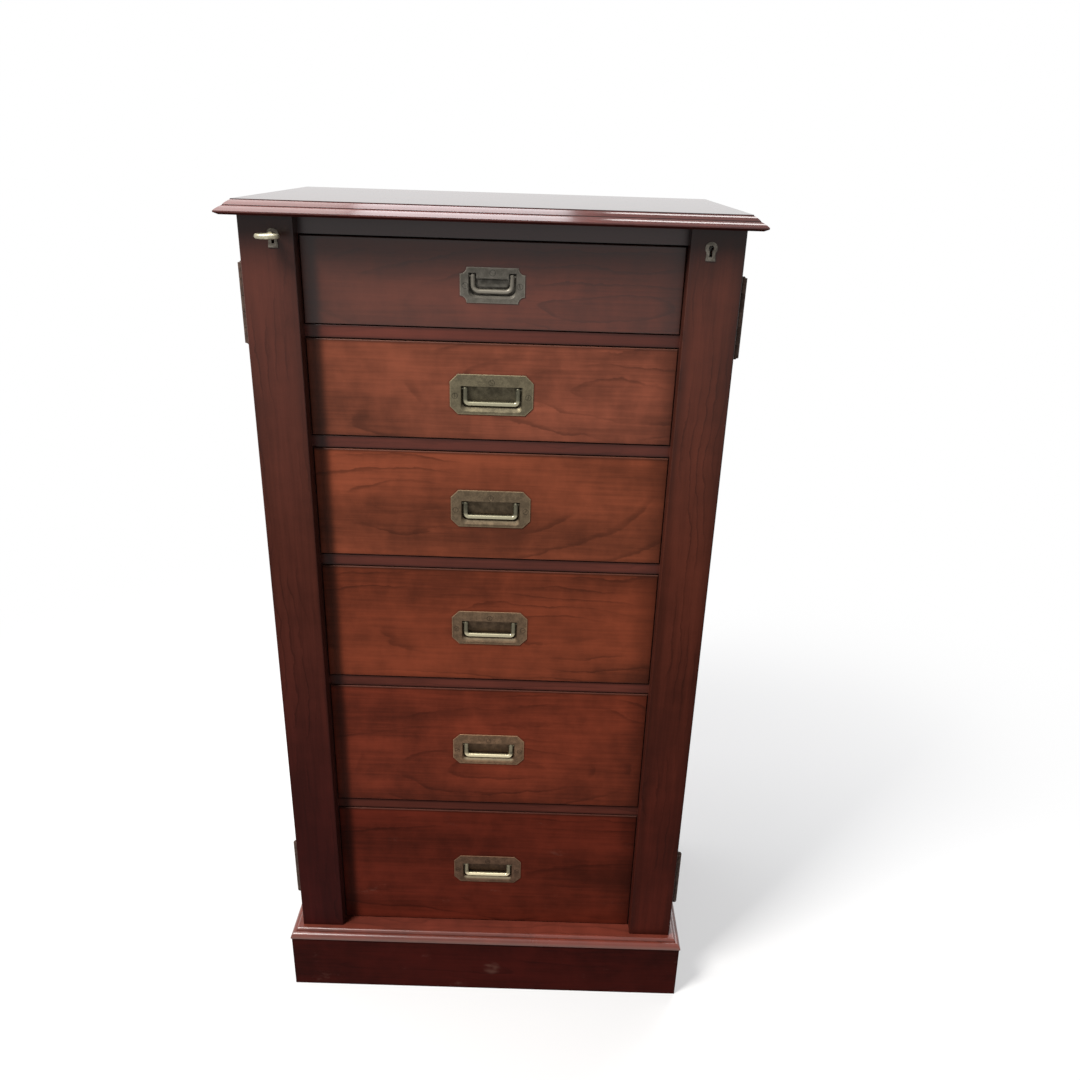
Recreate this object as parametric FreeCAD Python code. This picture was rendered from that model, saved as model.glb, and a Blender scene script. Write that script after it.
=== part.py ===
import FreeCAD, Part
import math
import os
from collections import namedtuple

# A wellington chest: six graduated drawers on a plinth, with a hinged locking stile down each side.
# Millimetres. +Z is up, +X is to the right, and the drawers face -Y.
# The origin is on the floor, in the middle of the chest's width and of its whole depth.

# Heights, from the floor up. Drawer 1 is the top one.
plinth_board_height = 95.0
plinth_cap_height = 15.2
opening_6_height = 219.8
opening_5_height = 201.5
opening_4_height = 173.0
opening_3_height = 149.5
opening_2_height = 124.0
opening_1_height = 104.0
rail_height = 16.0
top_rail_height = 21.2
top_thickness = 16.8

# Carcass
body_width = 585.0
body_depth = 335.0
side_thickness = 20.0
back_thickness = 8.0
back_rabbet_width = 9.0
post_depth = 24.0
rail_depth = 48.0
rail_setback = 1.2
dust_board_thickness = 7.0
guide_width = 12.0
guide_height = 10.0

# Top board and its edge moulding. The heights of the bands follow the thickness of the top.
top_overhang = 20.0
top_edge_step_share = 0.06
upper_band_run = 7.2
upper_band_drop_share = 0.31
band_fillet_share = 0.04
lower_band_run = 8.8
lower_band_drop_share = 0.335
band_swell_share = 0.05
top_under_run = 5.0
top_under_drop_share = 0.155

# Plinth and its cap moulding. The heights of the cap's bands follow the height of the cap.
plinth_projection = 15.8
plinth_board_thickness = 20.0
cap_upper_run = 4.4
cap_upper_drop_share = 0.28
cap_fillet_run = 0.8
cap_fillet_drop_share = 0.06
cap_lower_run = 7.0
cap_lower_drop_share = 0.49
cap_overhang = 1.4
cap_under_drop_share = 0.08
corner_block_size = 34.0

# Hinged stiles
stile_width = 64.0
stile_thickness = 18.6
stile_back_gap = 0.4
stile_end_gap = 0.6
stile_arris_radius = 1.6

# Butt hinges
hinge_length = 95.0
hinge_end_distance = 102.0
hinge_leaf_width = 14.0
hinge_leaf_thickness = 1.5
knuckle_radius = 4.5
knuckle_clearance = 0.3
knuckle_end_gap = 0.25
hinge_pin_radius = 1.6
hinge_pin_clearance = 0.05
hinge_pin_head_radius = 2.6
hinge_pin_head_height = 1.8
hinge_knuckle_count = 5

# Locks: the keyhole's place is measured from the stile's inner edge and from its top end
lock_from_inner_edge = 24.0
lock_from_top = 20.6
case_width = 40.0
case_height = 40.0
case_depth = 10.0
case_wall = 1.5
chamber_clearance = 1.0
bolt_width = 14.0
bolt_thickness = 4.0
bolt_foot_clearance = 0.6
bolt_top_setback = 0.2
bolt_travel = 6.0
bolt_clearance = 0.3
bolt_mortise_spare = 0.7

# Escutcheons and key. The keyhole, the lock's chamber and the bolt's foot clear the key.
escutcheon_radius = 7.1
escutcheon_thickness = 1.2
escutcheon_waist = 4.6
escutcheon_foot = 5.8
escutcheon_drop = 14.2
keyhole_clearance = 0.5
keyhole_slot_clearance = 0.6
keyhole_drop_clearance = 1.2
key_reach = 33.0
key_shaft_radius = 2.7
key_collar_radius = 3.9
key_collar_length = 2.4
key_collar_from_bow = 1.6
key_tip_gap = 0.6
key_bit_radius = 8.6
key_bit_front_gap = 1.0
key_bit_thickness = 2.2
bow_width = 28.5
bow_length = 20.0
bow_bar_width = 5.2
bow_thickness = 5.6
bow_arris_radius = 2.2

# Drawers
drawer_gap = 1.0
front_thickness = 20.0
front_arris_radius = 1.3
lining_thickness = 9.0
lining_inset = 1.0
lining_drop = 9.0
drawer_back_drop = 6.0
drawer_bottom_thickness = 6.0
drawer_bottom_height = 9.0
drawer_groove_depth = 4.0
drawer_back_gap = 6.0
dovetail_pitch = 38.0
dovetail_depth = 13.0
dovetail_neck_share = 0.46
dovetail_end_share = 0.66

# Handles of drawers 2 to 6. Heights on a plate are measured from its middle, which is a little
# below the middle of the drawer.
large_bar_radius = 3.2
large_bar_span = 66.0
large_bar_low = 12.0
large_bar_bend = 4.5
large_pivot_height = 6.7
large_bar_side_room = 4.0
large_bar_top_room = 0.6
large_bar_foot_room = 1.4
large_pocket_corner = 6.0
large_pocket_depth = 8.2
large_lip_side = 1.6
large_lip_foot = 5.1
large_screw_side_room = 9.0
large_screw_top_room = 5.1
large_screw_drop = 2.1
large_screw_side_margin = 6.25
large_screw_top_margin = 10.0
large_plate_corner = 10.0
large_handle_drop = 2.9

# Handle of drawer 1, smaller and of another make: ears at the top of its pocket hold the bail's ends,
# and a stepped panel fills the space inside the bail
small_bar_radius = 2.9
small_bar_span = 47.0
small_bar_low = 7.3
small_bar_bend = 8.0
small_pivot_height = 10.5
small_bar_side_room = 4.0
small_bar_top_room = 0.9
small_bar_foot_room = 2.0
small_ear_room = 1.1
small_ear_rise = 6.1
small_pocket_corner = 8.0
small_pocket_depth = 7.6
small_lip_side = 1.4
small_lip_foot = 2.8
small_panel_room = 0.8
small_panel_rise = 2.6
small_panel_step = 1.8
small_screw_side_room = 5.25
small_screw_top_room = 6.5
small_screw_drop = 0.6
small_screw_side_margin = 6.25
small_screw_top_margin = 6.15
small_plate_corner = 8.0
small_corner_hollow_share = 0.29

# What both kinds of handle share
plate_thickness = 2.2
plate_proud = 0.8
plate_arris_radius = 0.6
pan_wall = 1.6
lip_depth = 3.2
bar_setback = 0.3
bail_pin_radius = 1.2
bail_pin_clearance = 0.06
bail_pin_end_gap = 0.4
screw_head_radius = 3.1
screw_head_height = 1.8
screw_radius = 1.5
screw_length = 13.0
screw_slot_width = 0.9
screw_slot_depth = 0.7

# Cuts run past the face that they leave by this much
overrun = 5.0

# Levels and planes that follow from the sizes
V = FreeCAD.Vector
opening_heights = [
    opening_1_height, opening_2_height, opening_3_height,
    opening_4_height, opening_5_height, opening_6_height,
]
drawer_count = len(opening_heights)
ledge_z = plinth_board_height + plinth_cap_height
openings = []
level = ledge_z
for height in reversed(opening_heights):
    openings.insert(0, (level, level + height))
    level = level + height + rail_height
top_rail_z = openings[0][1]
top_z = top_rail_z + top_rail_height
total_height = top_z + top_thickness

half_body = body_width / 2
half_inside = half_body - side_thickness
half_opening = half_body - stile_width
stile_proud = stile_thickness + stile_back_gap
face_y = (stile_proud + key_reach - body_depth) / 2
back_y = face_y + body_depth
stile_back_y = face_y - stile_back_gap
stile_front_y = face_y - stile_proud
stile_bottom_z = ledge_z + stile_end_gap
stile_top_z = top_z - stile_end_gap
lock_x = half_opening + lock_from_inner_edge
lock_z = stile_top_z - lock_from_top
hinge_x = half_body + knuckle_clearance + knuckle_radius
hinge_y = face_y - stile_back_gap / 2
hinge_levels = [stile_bottom_z + hinge_end_distance, stile_top_z - hinge_end_distance]
half_drawer = half_opening - drawer_gap
half_lining = half_drawer - lining_inset
keyhole_radius = key_shaft_radius + keyhole_clearance
keyhole_slot_width = key_bit_thickness + 2 * keyhole_slot_clearance
keyhole_drop = key_bit_radius + keyhole_drop_clearance
key_bit_length = case_depth - 2 * case_wall - key_tip_gap - key_bit_front_gap
chamber_radius = key_bit_radius + chamber_clearance
bolt_foot_height = key_bit_radius + bolt_foot_clearance

# Each handle's pocket goes round its bail, its screws stand round the pocket, and its plate round them
large_pocket_width = large_bar_span + 2 * large_bar_side_room
large_pocket_top = large_pivot_height + large_bar_radius + large_bar_top_room
large_pocket_bottom = large_bar_low + large_bar_radius + large_bar_foot_room
large_screw_span = large_pocket_width + 2 * large_screw_side_room
large_screw_rise = large_pocket_top + large_screw_top_room
large_plate_width = large_screw_span + 2 * large_screw_side_margin
large_plate_height = 2 * (large_screw_rise + large_screw_top_margin)
small_pocket_width = small_bar_span + 2 * small_bar_side_room
small_ear_width = small_bar_side_room + small_bar_radius + small_ear_room
small_pocket_top = small_pivot_height + small_bar_radius + small_bar_top_room - small_ear_rise
small_pocket_bottom = small_bar_low + small_bar_radius + small_bar_foot_room
small_screw_span = small_pocket_width + 2 * small_screw_side_room
small_screw_rise = small_pocket_top + small_screw_top_room
small_plate_width = small_screw_span + 2 * small_screw_side_margin
small_plate_height = 2 * (small_screw_rise + small_screw_top_margin)

Handle = namedtuple(
    "Handle",
    "width height corner hollow_share pocket_width pocket_top pocket_bottom pocket_corner pocket_depth"
    " ear_width ear_rise lip_side lip_foot panel_room panel_rise panel_step bar_radius bar_span bar_low"
    " bar_bend pivot_height screw_rise screw_span screw_drop drop",
)
large_handle = Handle(
    large_plate_width, large_plate_height, large_plate_corner, 0.0, large_pocket_width, large_pocket_top,
    large_pocket_bottom, large_pocket_corner, large_pocket_depth, 0.0, 0.0,
    large_lip_side, large_lip_foot, 0.0, 0.0, 0.0,
    large_bar_radius, large_bar_span, large_bar_low, large_bar_bend, large_pivot_height,
    large_screw_rise, large_screw_span, large_screw_drop, large_handle_drop,
)
small_handle = Handle(
    small_plate_width, small_plate_height, small_plate_corner, small_corner_hollow_share,
    small_pocket_width, small_pocket_top, small_pocket_bottom, small_pocket_corner, small_pocket_depth,
    small_ear_width, small_ear_rise, small_lip_side, small_lip_foot,
    small_panel_room, small_panel_rise, small_panel_step,
    small_bar_radius, small_bar_span, small_bar_low, small_bar_bend, small_pivot_height,
    small_screw_rise, small_screw_span, small_screw_drop, 0.0,
)


def block(x0, x1, y0, y1, z0, z1):
    """A board between two corners."""
    return Part.makeBox(x1 - x0, y1 - y0, z1 - z0, V(x0, y0, z0))


def rod_along_y(radius, x, z, y0, y1):
    """A round bar that runs from front to back."""
    return Part.makeCylinder(radius, y1 - y0, V(x, y0, z), V(0, 1, 0))


def prism(points, run):
    """A straight solid whose end is the polygon through the points."""
    return Part.Face(Part.makePolygon(points + points[:1])).extrude(run)


def mirrored(shape):
    """The same piece for the other side of the chest."""
    return shape.mirror(V(0, 0, 0), V(1, 0, 0))


def softened(shape, radius, chosen):
    """Rounds the edges that the test picks out."""
    return shape.makeFillet(radius, [edge for edge in shape.Edges if chosen(edge)])


def lies_at(edge, axis, value):
    """True where a whole edge lies in one plane across the axis."""
    places = [getattr(vertex.Point, axis) for vertex in edge.Vertexes]
    return all(math.isclose(place, value, abs_tol=1e-6) for place in places)


def runs_along(edge, axis):
    """True where a straight edge runs along the axis."""
    run = edge.Vertexes[-1].Point - edge.Vertexes[0].Point
    return math.isclose(abs(getattr(run, axis)), run.Length, rel_tol=1e-6)


def quarter_round(start, end):
    """An arc that swells outwards from start, where it is level, to end, where it is upright."""
    run = end[0] - start[0]
    drop = start[1] - end[1]
    lean = math.sqrt(0.5)
    return (start[0] + run * lean, end[1] + drop * lean)


def gentle_swell(start, end):
    """The middle of a sloping band that stands out from its chord by a small share of its length."""
    run = end[0] - start[0]
    drop = start[1] - end[1]
    return (
        (start[0] + end[0]) / 2 + drop * band_swell_share,
        (start[1] + end[1]) / 2 + run * band_swell_share,
    )


def edge_profile(steps):
    """Lines and curves of a moulding, as (outward, height) pairs, from steps of (kind, run, drop)."""
    place = (0.0, 0.0)
    parts = []
    for kind, run, drop in steps:
        end = (place[0] + run, place[1] - drop)
        parts.append((kind, place, end))
        place = end
    return parts


def moulded_face(parts, depth, flat):
    """A closed face: the moulding outside, and a flat top and underside that run back by depth."""
    edges = []
    for kind, start, end in parts:
        if kind == "line":
            edges.append(Part.makeLine(flat(*start), flat(*end)))
        else:
            middle = quarter_round(start, end) if kind == "round" else gentle_swell(start, end)
            edges.append(Part.Arc(flat(*start), flat(*middle), flat(*end)).toShape())
    first = parts[0][1]
    last = parts[-1][2]
    edges.append(Part.makeLine(flat(*last), flat(-depth, last[1])))
    edges.append(Part.makeLine(flat(-depth, last[1]), flat(-depth, first[1])))
    edges.append(Part.makeLine(flat(-depth, first[1]), flat(*first)))
    return Part.Face(Part.Wire(edges))


def edge_run(parts):
    """How far a moulding stands out past the edge of the flat above it."""
    return max(end[0] for _, _, end in parts)


def top_board():
    """The polished top: moulded at the front and both ends, with a mortise for each bolt below."""
    edge_step = top_thickness * top_edge_step_share
    upper_drop = top_thickness * upper_band_drop_share
    fillet = top_thickness * band_fillet_share
    lower_drop = top_thickness * lower_band_drop_share
    under_drop = top_thickness * top_under_drop_share
    nose_height = top_thickness - edge_step - upper_drop - fillet - lower_drop - under_drop
    parts = edge_profile([
        ("line", 0.0, edge_step),
        ("swell", upper_band_run, upper_drop),
        ("line", 0.0, fillet),
        ("swell", lower_band_run, lower_drop),
        ("line", 0.0, nose_height),
        ("line", -top_under_run, under_drop),
    ])
    reach = edge_run(parts)
    flat_half = half_body + top_overhang - reach
    flat_front = stile_front_y - top_overhang + reach
    flat_depth = back_y - flat_front
    front_face = moulded_face(
        parts, flat_depth, lambda out, up: V(-flat_half - reach, flat_front - out, total_height + up)
    )
    board = front_face.extrude(V(2 * (flat_half + reach), 0, 0))
    for side in (-1, 1):
        end_face = moulded_face(
            parts, 2 * flat_half + reach,
            lambda out, up: V(side * (flat_half + out), flat_front - reach, total_height + up),
        )
        board = board.common(end_face.extrude(V(0, flat_depth + reach, 0)))
    for side in (-1, 1):
        board = board.cut(bolt_mortise(side))
    return board


def bolt_mortise(side):
    """The slot over a lock that takes its bolt."""
    middle_y = stile_back_y - case_depth / 2
    half_width = bolt_width / 2 + bolt_clearance
    half_depth = bolt_thickness / 2 + bolt_clearance
    top = stile_top_z - bolt_top_setback + bolt_travel + bolt_mortise_spare
    return block(
        side * lock_x - half_width, side * lock_x + half_width,
        middle_y - half_depth, middle_y + half_depth, top_z - overrun, top,
    )


def right_side():
    """A side of the carcass, rabbeted for the back and let in for the hinge leaves."""
    side = block(half_inside, half_body, face_y, back_y, ledge_z, top_z)
    side = side.cut(block(
        half_inside - overrun, half_inside + back_rabbet_width,
        back_y - back_thickness, back_y + overrun, ledge_z - overrun, top_z + overrun,
    ))
    for z in hinge_levels:
        side = side.cut(leaf_plate(z, face_y, face_y + hinge_leaf_thickness))
    return side


def back_panel():
    """The back, held in the rabbets of the two sides."""
    half = half_inside + back_rabbet_width
    return block(-half, half, back_y - back_thickness, back_y, ledge_z, top_z)


def right_post():
    """The upright behind a stile, between the side and the drawers."""
    return block(half_opening, half_inside, face_y, face_y + post_depth, ledge_z, top_z)


def rail(z0, z1):
    """A rail across the front between the posts, with softened front arrises."""
    front = face_y + rail_setback
    board = block(-half_opening, half_opening, front, face_y + rail_depth, z0, z1)
    return softened(
        board, front_arris_radius, lambda edge: lies_at(edge, "y", front) and runs_along(edge, "x")
    )


def top_rail():
    """The rail over drawer 1."""
    return rail(top_rail_z, top_z)


def drawer_rails():
    """The rails between the drawers."""
    return [rail(low - rail_height, low) for low, _ in openings[:-1]]


def dust_boards():
    """The boards that close each level off from the next and carry the drawer above."""
    front = face_y + rail_depth
    back = back_y - back_thickness
    return [
        block(-half_inside, half_inside, front, back, low - dust_board_thickness, low)
        for low, _ in openings[:-1]
    ]


def drawer_guides():
    """Strips on the dust boards that keep each drawer straight."""
    strips = []
    for low, _ in openings:
        strip = block(
            half_opening, half_opening + guide_width,
            face_y + rail_depth, back_y - back_thickness, low, low + guide_height,
        )
        strips += [strip, mirrored(strip)]
    return strips


def base_board():
    """The floor of the carcass, level with the ledge of the plinth."""
    return block(
        -half_inside, half_inside, face_y + post_depth, back_y, plinth_board_height, ledge_z
    )


def plinth_plan():
    """Half width and front of the plinth's outer face."""
    return half_body + plinth_projection, stile_front_y - plinth_projection


def plinth_front():
    """The front board of the plinth, mitred to the side boards."""
    half, front = plinth_plan()
    inner = half - plinth_board_thickness
    back = front + plinth_board_thickness
    points = [V(-half, front, 0), V(half, front, 0), V(inner, back, 0), V(-inner, back, 0)]
    return prism(points, V(0, 0, plinth_board_height))


def plinth_right():
    """A side board of the plinth."""
    half, front = plinth_plan()
    inner = half - plinth_board_thickness
    points = [
        V(half, front, 0), V(half, back_y, 0), V(inner, back_y, 0),
        V(inner, front + plinth_board_thickness, 0),
    ]
    return prism(points, V(0, 0, plinth_board_height))


def plinth_back():
    """The plain board between the plinth's sides at the back."""
    inner = plinth_plan()[0] - plinth_board_thickness
    return block(-inner, inner, back_y - plinth_board_thickness, back_y, 0, plinth_board_height)


def corner_blocks():
    """Glue blocks in the four inner corners of the plinth."""
    half, front = plinth_plan()
    inner = half - plinth_board_thickness
    blocks = []
    for low in (front + plinth_board_thickness, back_y - plinth_board_thickness - corner_block_size):
        corner = block(
            inner - corner_block_size, inner, low, low + corner_block_size, 0, plinth_board_height
        )
        blocks += [corner, mirrored(corner)]
    return blocks


def plinth_cap():
    """The moulded strips on the plinth, mitred at the front corners, that the carcass stands on."""
    upper_drop = plinth_cap_height * cap_upper_drop_share
    fillet = plinth_cap_height * cap_fillet_drop_share
    lower_drop = plinth_cap_height * cap_lower_drop_share
    under_drop = plinth_cap_height * cap_under_drop_share
    parts = edge_profile([
        ("round", cap_upper_run, upper_drop),
        ("line", 0.0, fillet),
        ("line", cap_fillet_run, 0.0),
        ("round", cap_lower_run, lower_drop),
        ("line", 0.0, plinth_cap_height - upper_drop - fillet - lower_drop - under_drop),
        ("line", -cap_overhang, under_drop),
    ])
    reach = edge_run(parts)
    half, front = plinth_plan()
    half = half + cap_overhang
    front = front - cap_overhang
    front_depth = face_y + post_depth - front - reach
    side_depth = half - half_inside - reach
    front_face = moulded_face(parts, front_depth, lambda out, up: V(-half, front + reach - out, ledge_z + up))
    front_strip = front_face.extrude(V(2 * half, 0, 0))
    side_face = moulded_face(parts, side_depth, lambda out, up: V(half - reach + out, front, ledge_z + up))
    side_strip = side_face.extrude(V(0, back_y - front, 0))
    far = front_depth + reach + overrun
    corner = V(half + overrun, front - overrun, plinth_board_height - overrun)
    wedge_points = [corner, V(corner.x, back_y + overrun, corner.z)]
    wedge_points.append(V(corner.x - far, back_y + overrun, corner.z))
    wedge_points.append(V(corner.x - far, corner.y + far, corner.z))
    wedge = prism(wedge_points, V(0, 0, plinth_cap_height + 2 * overrun))
    inner_end = block(
        half_inside, half + overrun, face_y + post_depth, back_y + overrun,
        plinth_board_height - overrun, ledge_z + overrun,
    )
    side_keep = side_strip.common(wedge.fuse(inner_end))
    front_keep = front_strip.cut(wedge).cut(mirrored(wedge))
    return [front_keep, side_keep, mirrored(side_keep)]


def knuckle_spans(z):
    """The lowest and highest point of each knuckle of a hinge, from the bottom up."""
    pitch = hinge_length / hinge_knuckle_count
    low = z - hinge_length / 2
    return [(low + index * pitch, low + (index + 1) * pitch) for index in range(hinge_knuckle_count)]


def leaf_plate(z, y0, y1):
    """The flat part of a hinge leaf."""
    return block(
        half_body - hinge_leaf_width, half_body, y0, y1, z - hinge_length / 2, z + hinge_length / 2
    )


def hinge_leaf(z, y0, y1, first):
    """A leaf with every second knuckle, counted from the first, bored for the pin."""
    leaf = leaf_plate(z, y0, y1)
    for low, high in knuckle_spans(z)[first::2]:
        low = low + knuckle_end_gap
        high = high - knuckle_end_gap
        leaf = leaf.fuse(block(half_body, hinge_x, y0, y1, low, high))
        leaf = leaf.fuse(Part.makeCylinder(knuckle_radius, high - low, V(hinge_x, hinge_y, low)))
    bore = Part.makeCylinder(
        hinge_pin_radius + hinge_pin_clearance, hinge_length + 2 * overrun,
        V(hinge_x, hinge_y, z - hinge_length / 2 - overrun),
    )
    return leaf.cut(bore).removeSplitter()


def carcass_leaves():
    """The leaves that are let into the front edges of the sides."""
    leaves = [hinge_leaf(z, face_y, face_y + hinge_leaf_thickness, 0) for z in hinge_levels]
    return leaves + [mirrored(leaf) for leaf in leaves]


def stile_leaves():
    """The leaves that are let into the back of the right stile."""
    return [hinge_leaf(z, stile_back_y - hinge_leaf_thickness, stile_back_y, 1) for z in hinge_levels]


def hinge_pins():
    """A pin with a button head at each end for every hinge."""
    pins = []
    for z in hinge_levels:
        low = z - hinge_length / 2 + knuckle_end_gap
        high = z + hinge_length / 2 - knuckle_end_gap
        pin = Part.makeCylinder(hinge_pin_radius, high - low, V(hinge_x, hinge_y, low))
        for end, way in ((low, -1), (high, 1)):
            head = Part.makeCone(
                hinge_pin_head_radius, hinge_pin_radius, hinge_pin_head_height,
                V(hinge_x, hinge_y, end), V(0, 0, way),
            )
            pin = pin.fuse(head)
        pins += [pin, mirrored(pin)]
    return pins


def keyhole(y0, y1):
    """A keyhole from front to back: a round eye over a straight slot."""
    eye = rod_along_y(keyhole_radius, lock_x, lock_z, y0, y1)
    slot = block(
        lock_x - keyhole_slot_width / 2, lock_x + keyhole_slot_width / 2, y0, y1,
        lock_z - keyhole_drop, lock_z,
    )
    return eye.fuse(slot).removeSplitter()


def case_block():
    """The outside of a lock, let into the back of its stile at the top."""
    return block(
        lock_x - case_width / 2, lock_x + case_width / 2, stile_back_y - case_depth, stile_back_y,
        stile_top_z - case_height, stile_top_z,
    )


def right_stile():
    """The hinged stile: a long board with a keyhole and the recesses for its lock and hinge leaves."""
    stile = block(half_opening, half_body, stile_front_y, stile_back_y, stile_bottom_z, stile_top_z)
    stile = softened(
        stile, stile_arris_radius,
        lambda edge: lies_at(edge, "y", stile_front_y) and runs_along(edge, "z"),
    )
    stile = stile.cut(case_block())
    stile = stile.cut(keyhole(stile_front_y - overrun, stile_back_y))
    for z in hinge_levels:
        stile = stile.cut(leaf_plate(z, stile_back_y - hinge_leaf_thickness, stile_back_y))
    return stile


def bolt_space(side_room, low, high):
    """The upright space of a bolt, with room at its sides."""
    middle_y = stile_back_y - case_depth / 2
    half_width = bolt_width / 2 + side_room
    half_depth = bolt_thickness / 2 + side_room
    return block(
        lock_x - half_width, lock_x + half_width, middle_y - half_depth, middle_y + half_depth, low, high
    )


def right_lock_case():
    """A lock case, hollow where the key's bit turns and where the bolt slides."""
    front = stile_back_y - case_depth
    case = case_block().cut(
        rod_along_y(chamber_radius, lock_x, lock_z, front + case_wall, stile_back_y - case_wall)
    )
    case = case.cut(keyhole(front - overrun, front + case_wall))
    return case.cut(bolt_space(bolt_clearance, lock_z, stile_top_z + overrun))


def right_bolt():
    """The bolt, drawn back into the stile."""
    return bolt_space(0.0, lock_z + bolt_foot_height, stile_top_z - bolt_top_setback)


def right_escutcheon():
    """The keyhole-shaped rim on the face of a stile."""
    front = stile_front_y - escutcheon_thickness
    rim = rod_along_y(escutcheon_radius, lock_x, lock_z, front, stile_front_y)
    skirt = prism(
        [
            V(lock_x - escutcheon_waist, front, lock_z),
            V(lock_x + escutcheon_waist, front, lock_z),
            V(lock_x + escutcheon_foot, front, lock_z - escutcheon_drop),
            V(lock_x - escutcheon_foot, front, lock_z - escutcheon_drop),
        ],
        V(0, escutcheon_thickness, 0),
    )
    return rim.fuse(skirt).cut(keyhole(front - overrun, stile_front_y + overrun)).removeSplitter()


def oval_slab(bow_front, inset):
    """A level oval of the bow's thickness, drawn in all round by the inset."""
    middle = V(-lock_x, bow_front + bow_length / 2, lock_z - bow_thickness / 2)
    oval = Part.Ellipse(middle, bow_width / 2 - inset, bow_length / 2 - inset).toShape()
    return Part.Face(Part.Wire(oval)).extrude(V(0, 0, bow_thickness))


def key():
    """The key in the left lock, turned so that its bow lies level and its bit points inwards."""
    bow_front = stile_front_y - key_reach
    tip = stile_back_y - case_wall - key_tip_gap
    bow = oval_slab(bow_front, 0.0).cut(oval_slab(bow_front, bow_bar_width))
    bow = bow.makeFillet(bow_arris_radius, [edge for edge in bow.Edges if len(edge.Vertexes) == 1])
    shaft = rod_along_y(key_shaft_radius, -lock_x, lock_z, bow_front + bow_length - bow_bar_width / 2, tip)
    collar_front = bow_front + bow_length + key_collar_from_bow
    collar = rod_along_y(key_collar_radius, -lock_x, lock_z, collar_front, collar_front + key_collar_length)
    bit = block(
        -lock_x, -lock_x + key_bit_radius, tip - key_bit_length, tip,
        lock_z - key_bit_thickness / 2, lock_z + key_bit_thickness / 2,
    )
    return bow.fuse(shaft).fuse(collar).fuse(bit).removeSplitter()


def handle_of(number):
    """The kind of handle on a drawer."""
    return small_handle if number == 1 else large_handle


def handle_z(number):
    """The level of the middle of a drawer's handle."""
    low, high = openings[number - 1]
    return (low + high) / 2 - handle_of(number).drop


def plate_blank(handle, y, z, thickness):
    """A flat plate whose four corners are cut off, straight or, with a hollow, in a curve that dips in."""
    half_width = handle.width / 2
    half_height = handle.height / 2
    dip = handle.corner * handle.hollow_share * math.sqrt(0.5)
    corners = []
    for across, up in ((1, 1), (1, -1), (-1, -1), (-1, 1)):
        on_side = V(across * half_width, y, z + up * (half_height - handle.corner))
        on_end = V(across * (half_width - handle.corner), y, z + up * half_height)
        middle = (on_side + on_end) / 2 - V(across * dip, 0, up * dip)
        corners.append((on_end, middle, on_side) if across * up > 0 else (on_side, middle, on_end))
    edges = []
    for corner, following in zip(corners, corners[1:] + corners[:1]):
        start, middle, end = corner
        cut = Part.Arc(start, middle, end).toShape() if dip > 0 else Part.makeLine(start, end)
        edges += [cut, Part.makeLine(end, following[0])]
    return Part.Face(Part.Wire(edges)).extrude(V(0, thickness, 0))


def foot_arcs(half, y, low, radius):
    """The two round lower corners of a U, the left one drawn downwards and the right one upwards."""
    inset = radius * (1 - math.sqrt(0.5))
    left = Part.Arc(
        V(-half, y, low + radius), V(-half + inset, y, low + inset), V(-half + radius, y, low)
    )
    right = Part.Arc(
        V(half - radius, y, low), V(half - inset, y, low + inset), V(half, y, low + radius)
    )
    return left.toShape(), right.toShape()


def pocket_wire(handle, y, z, spread_side, spread_foot):
    """The outline of a pocket at depth y: square above, round corners below, ears beside the bar ends."""
    half = handle.pocket_width / 2 + spread_side
    top = z + handle.pocket_top + handle.ear_rise
    shoulder = z + handle.pocket_top
    ear = handle.pocket_width / 2 - handle.ear_width
    low = z - handle.pocket_bottom - spread_foot
    corner = handle.pocket_corner
    left_arc, right_arc = foot_arcs(half, y, low, corner)
    foot = Part.makeLine(V(-half + corner, y, low), V(half - corner, y, low))
    line_points = [V(half, y, low + corner), V(half, y, top)]
    if handle.ear_rise > 0:
        line_points += [V(ear, y, top), V(ear, y, shoulder), V(-ear, y, shoulder), V(-ear, y, top)]
    line_points += [V(-half, y, top), V(-half, y, low + corner)]
    lines = [Part.makeLine(a, b) for a, b in zip(line_points, line_points[1:])]
    return Part.Wire(lines + [left_arc, foot, right_arc])


def pan_block(handle, z):
    """The outside of the pan that hangs behind a plate, with a block behind each ear."""
    half = handle.pocket_width / 2 + pan_wall
    back = face_y - plate_proud + handle.pocket_depth + pan_wall
    low = z - handle.pocket_bottom - pan_wall
    shoulder = z + handle.pocket_top + pan_wall
    pan = block(-half, half, face_y, back, low, shoulder)
    if handle.ear_rise > 0:
        inner = handle.pocket_width / 2 - handle.ear_width - pan_wall
        ear = block(inner, half, face_y, back, low, shoulder + handle.ear_rise)
        pan = pan.fuse(ear).fuse(mirrored(ear)).removeSplitter()
    return pan


def bar_axis_y(handle):
    """The depth of a bail's bar: its front is just behind the face of the plate."""
    return face_y - plate_proud + bar_setback + handle.bar_radius


def pocket_panel(handle, z):
    """The panel on the floor of a pocket, in two steps, whose lower corners follow the bail's bends."""
    floor = face_y - plate_proud + handle.pocket_depth
    panel = None
    for inset, rise in ((0.0, handle.panel_rise / 2), (handle.panel_step, handle.panel_rise)):
        gap = handle.bar_radius + handle.panel_room + inset
        half = handle.bar_span / 2 - gap
        low = z - handle.bar_low + gap
        high = z + handle.pocket_top - handle.panel_room - inset
        slab = block(-half, half, floor - rise, floor + pan_wall / 2, low, high)
        slab = softened(
            slab, handle.bar_bend - gap, lambda edge: runs_along(edge, "y") and lies_at(edge, "z", low)
        )
        panel = panel.fuse(slab) if panel else slab
    return panel


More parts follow.
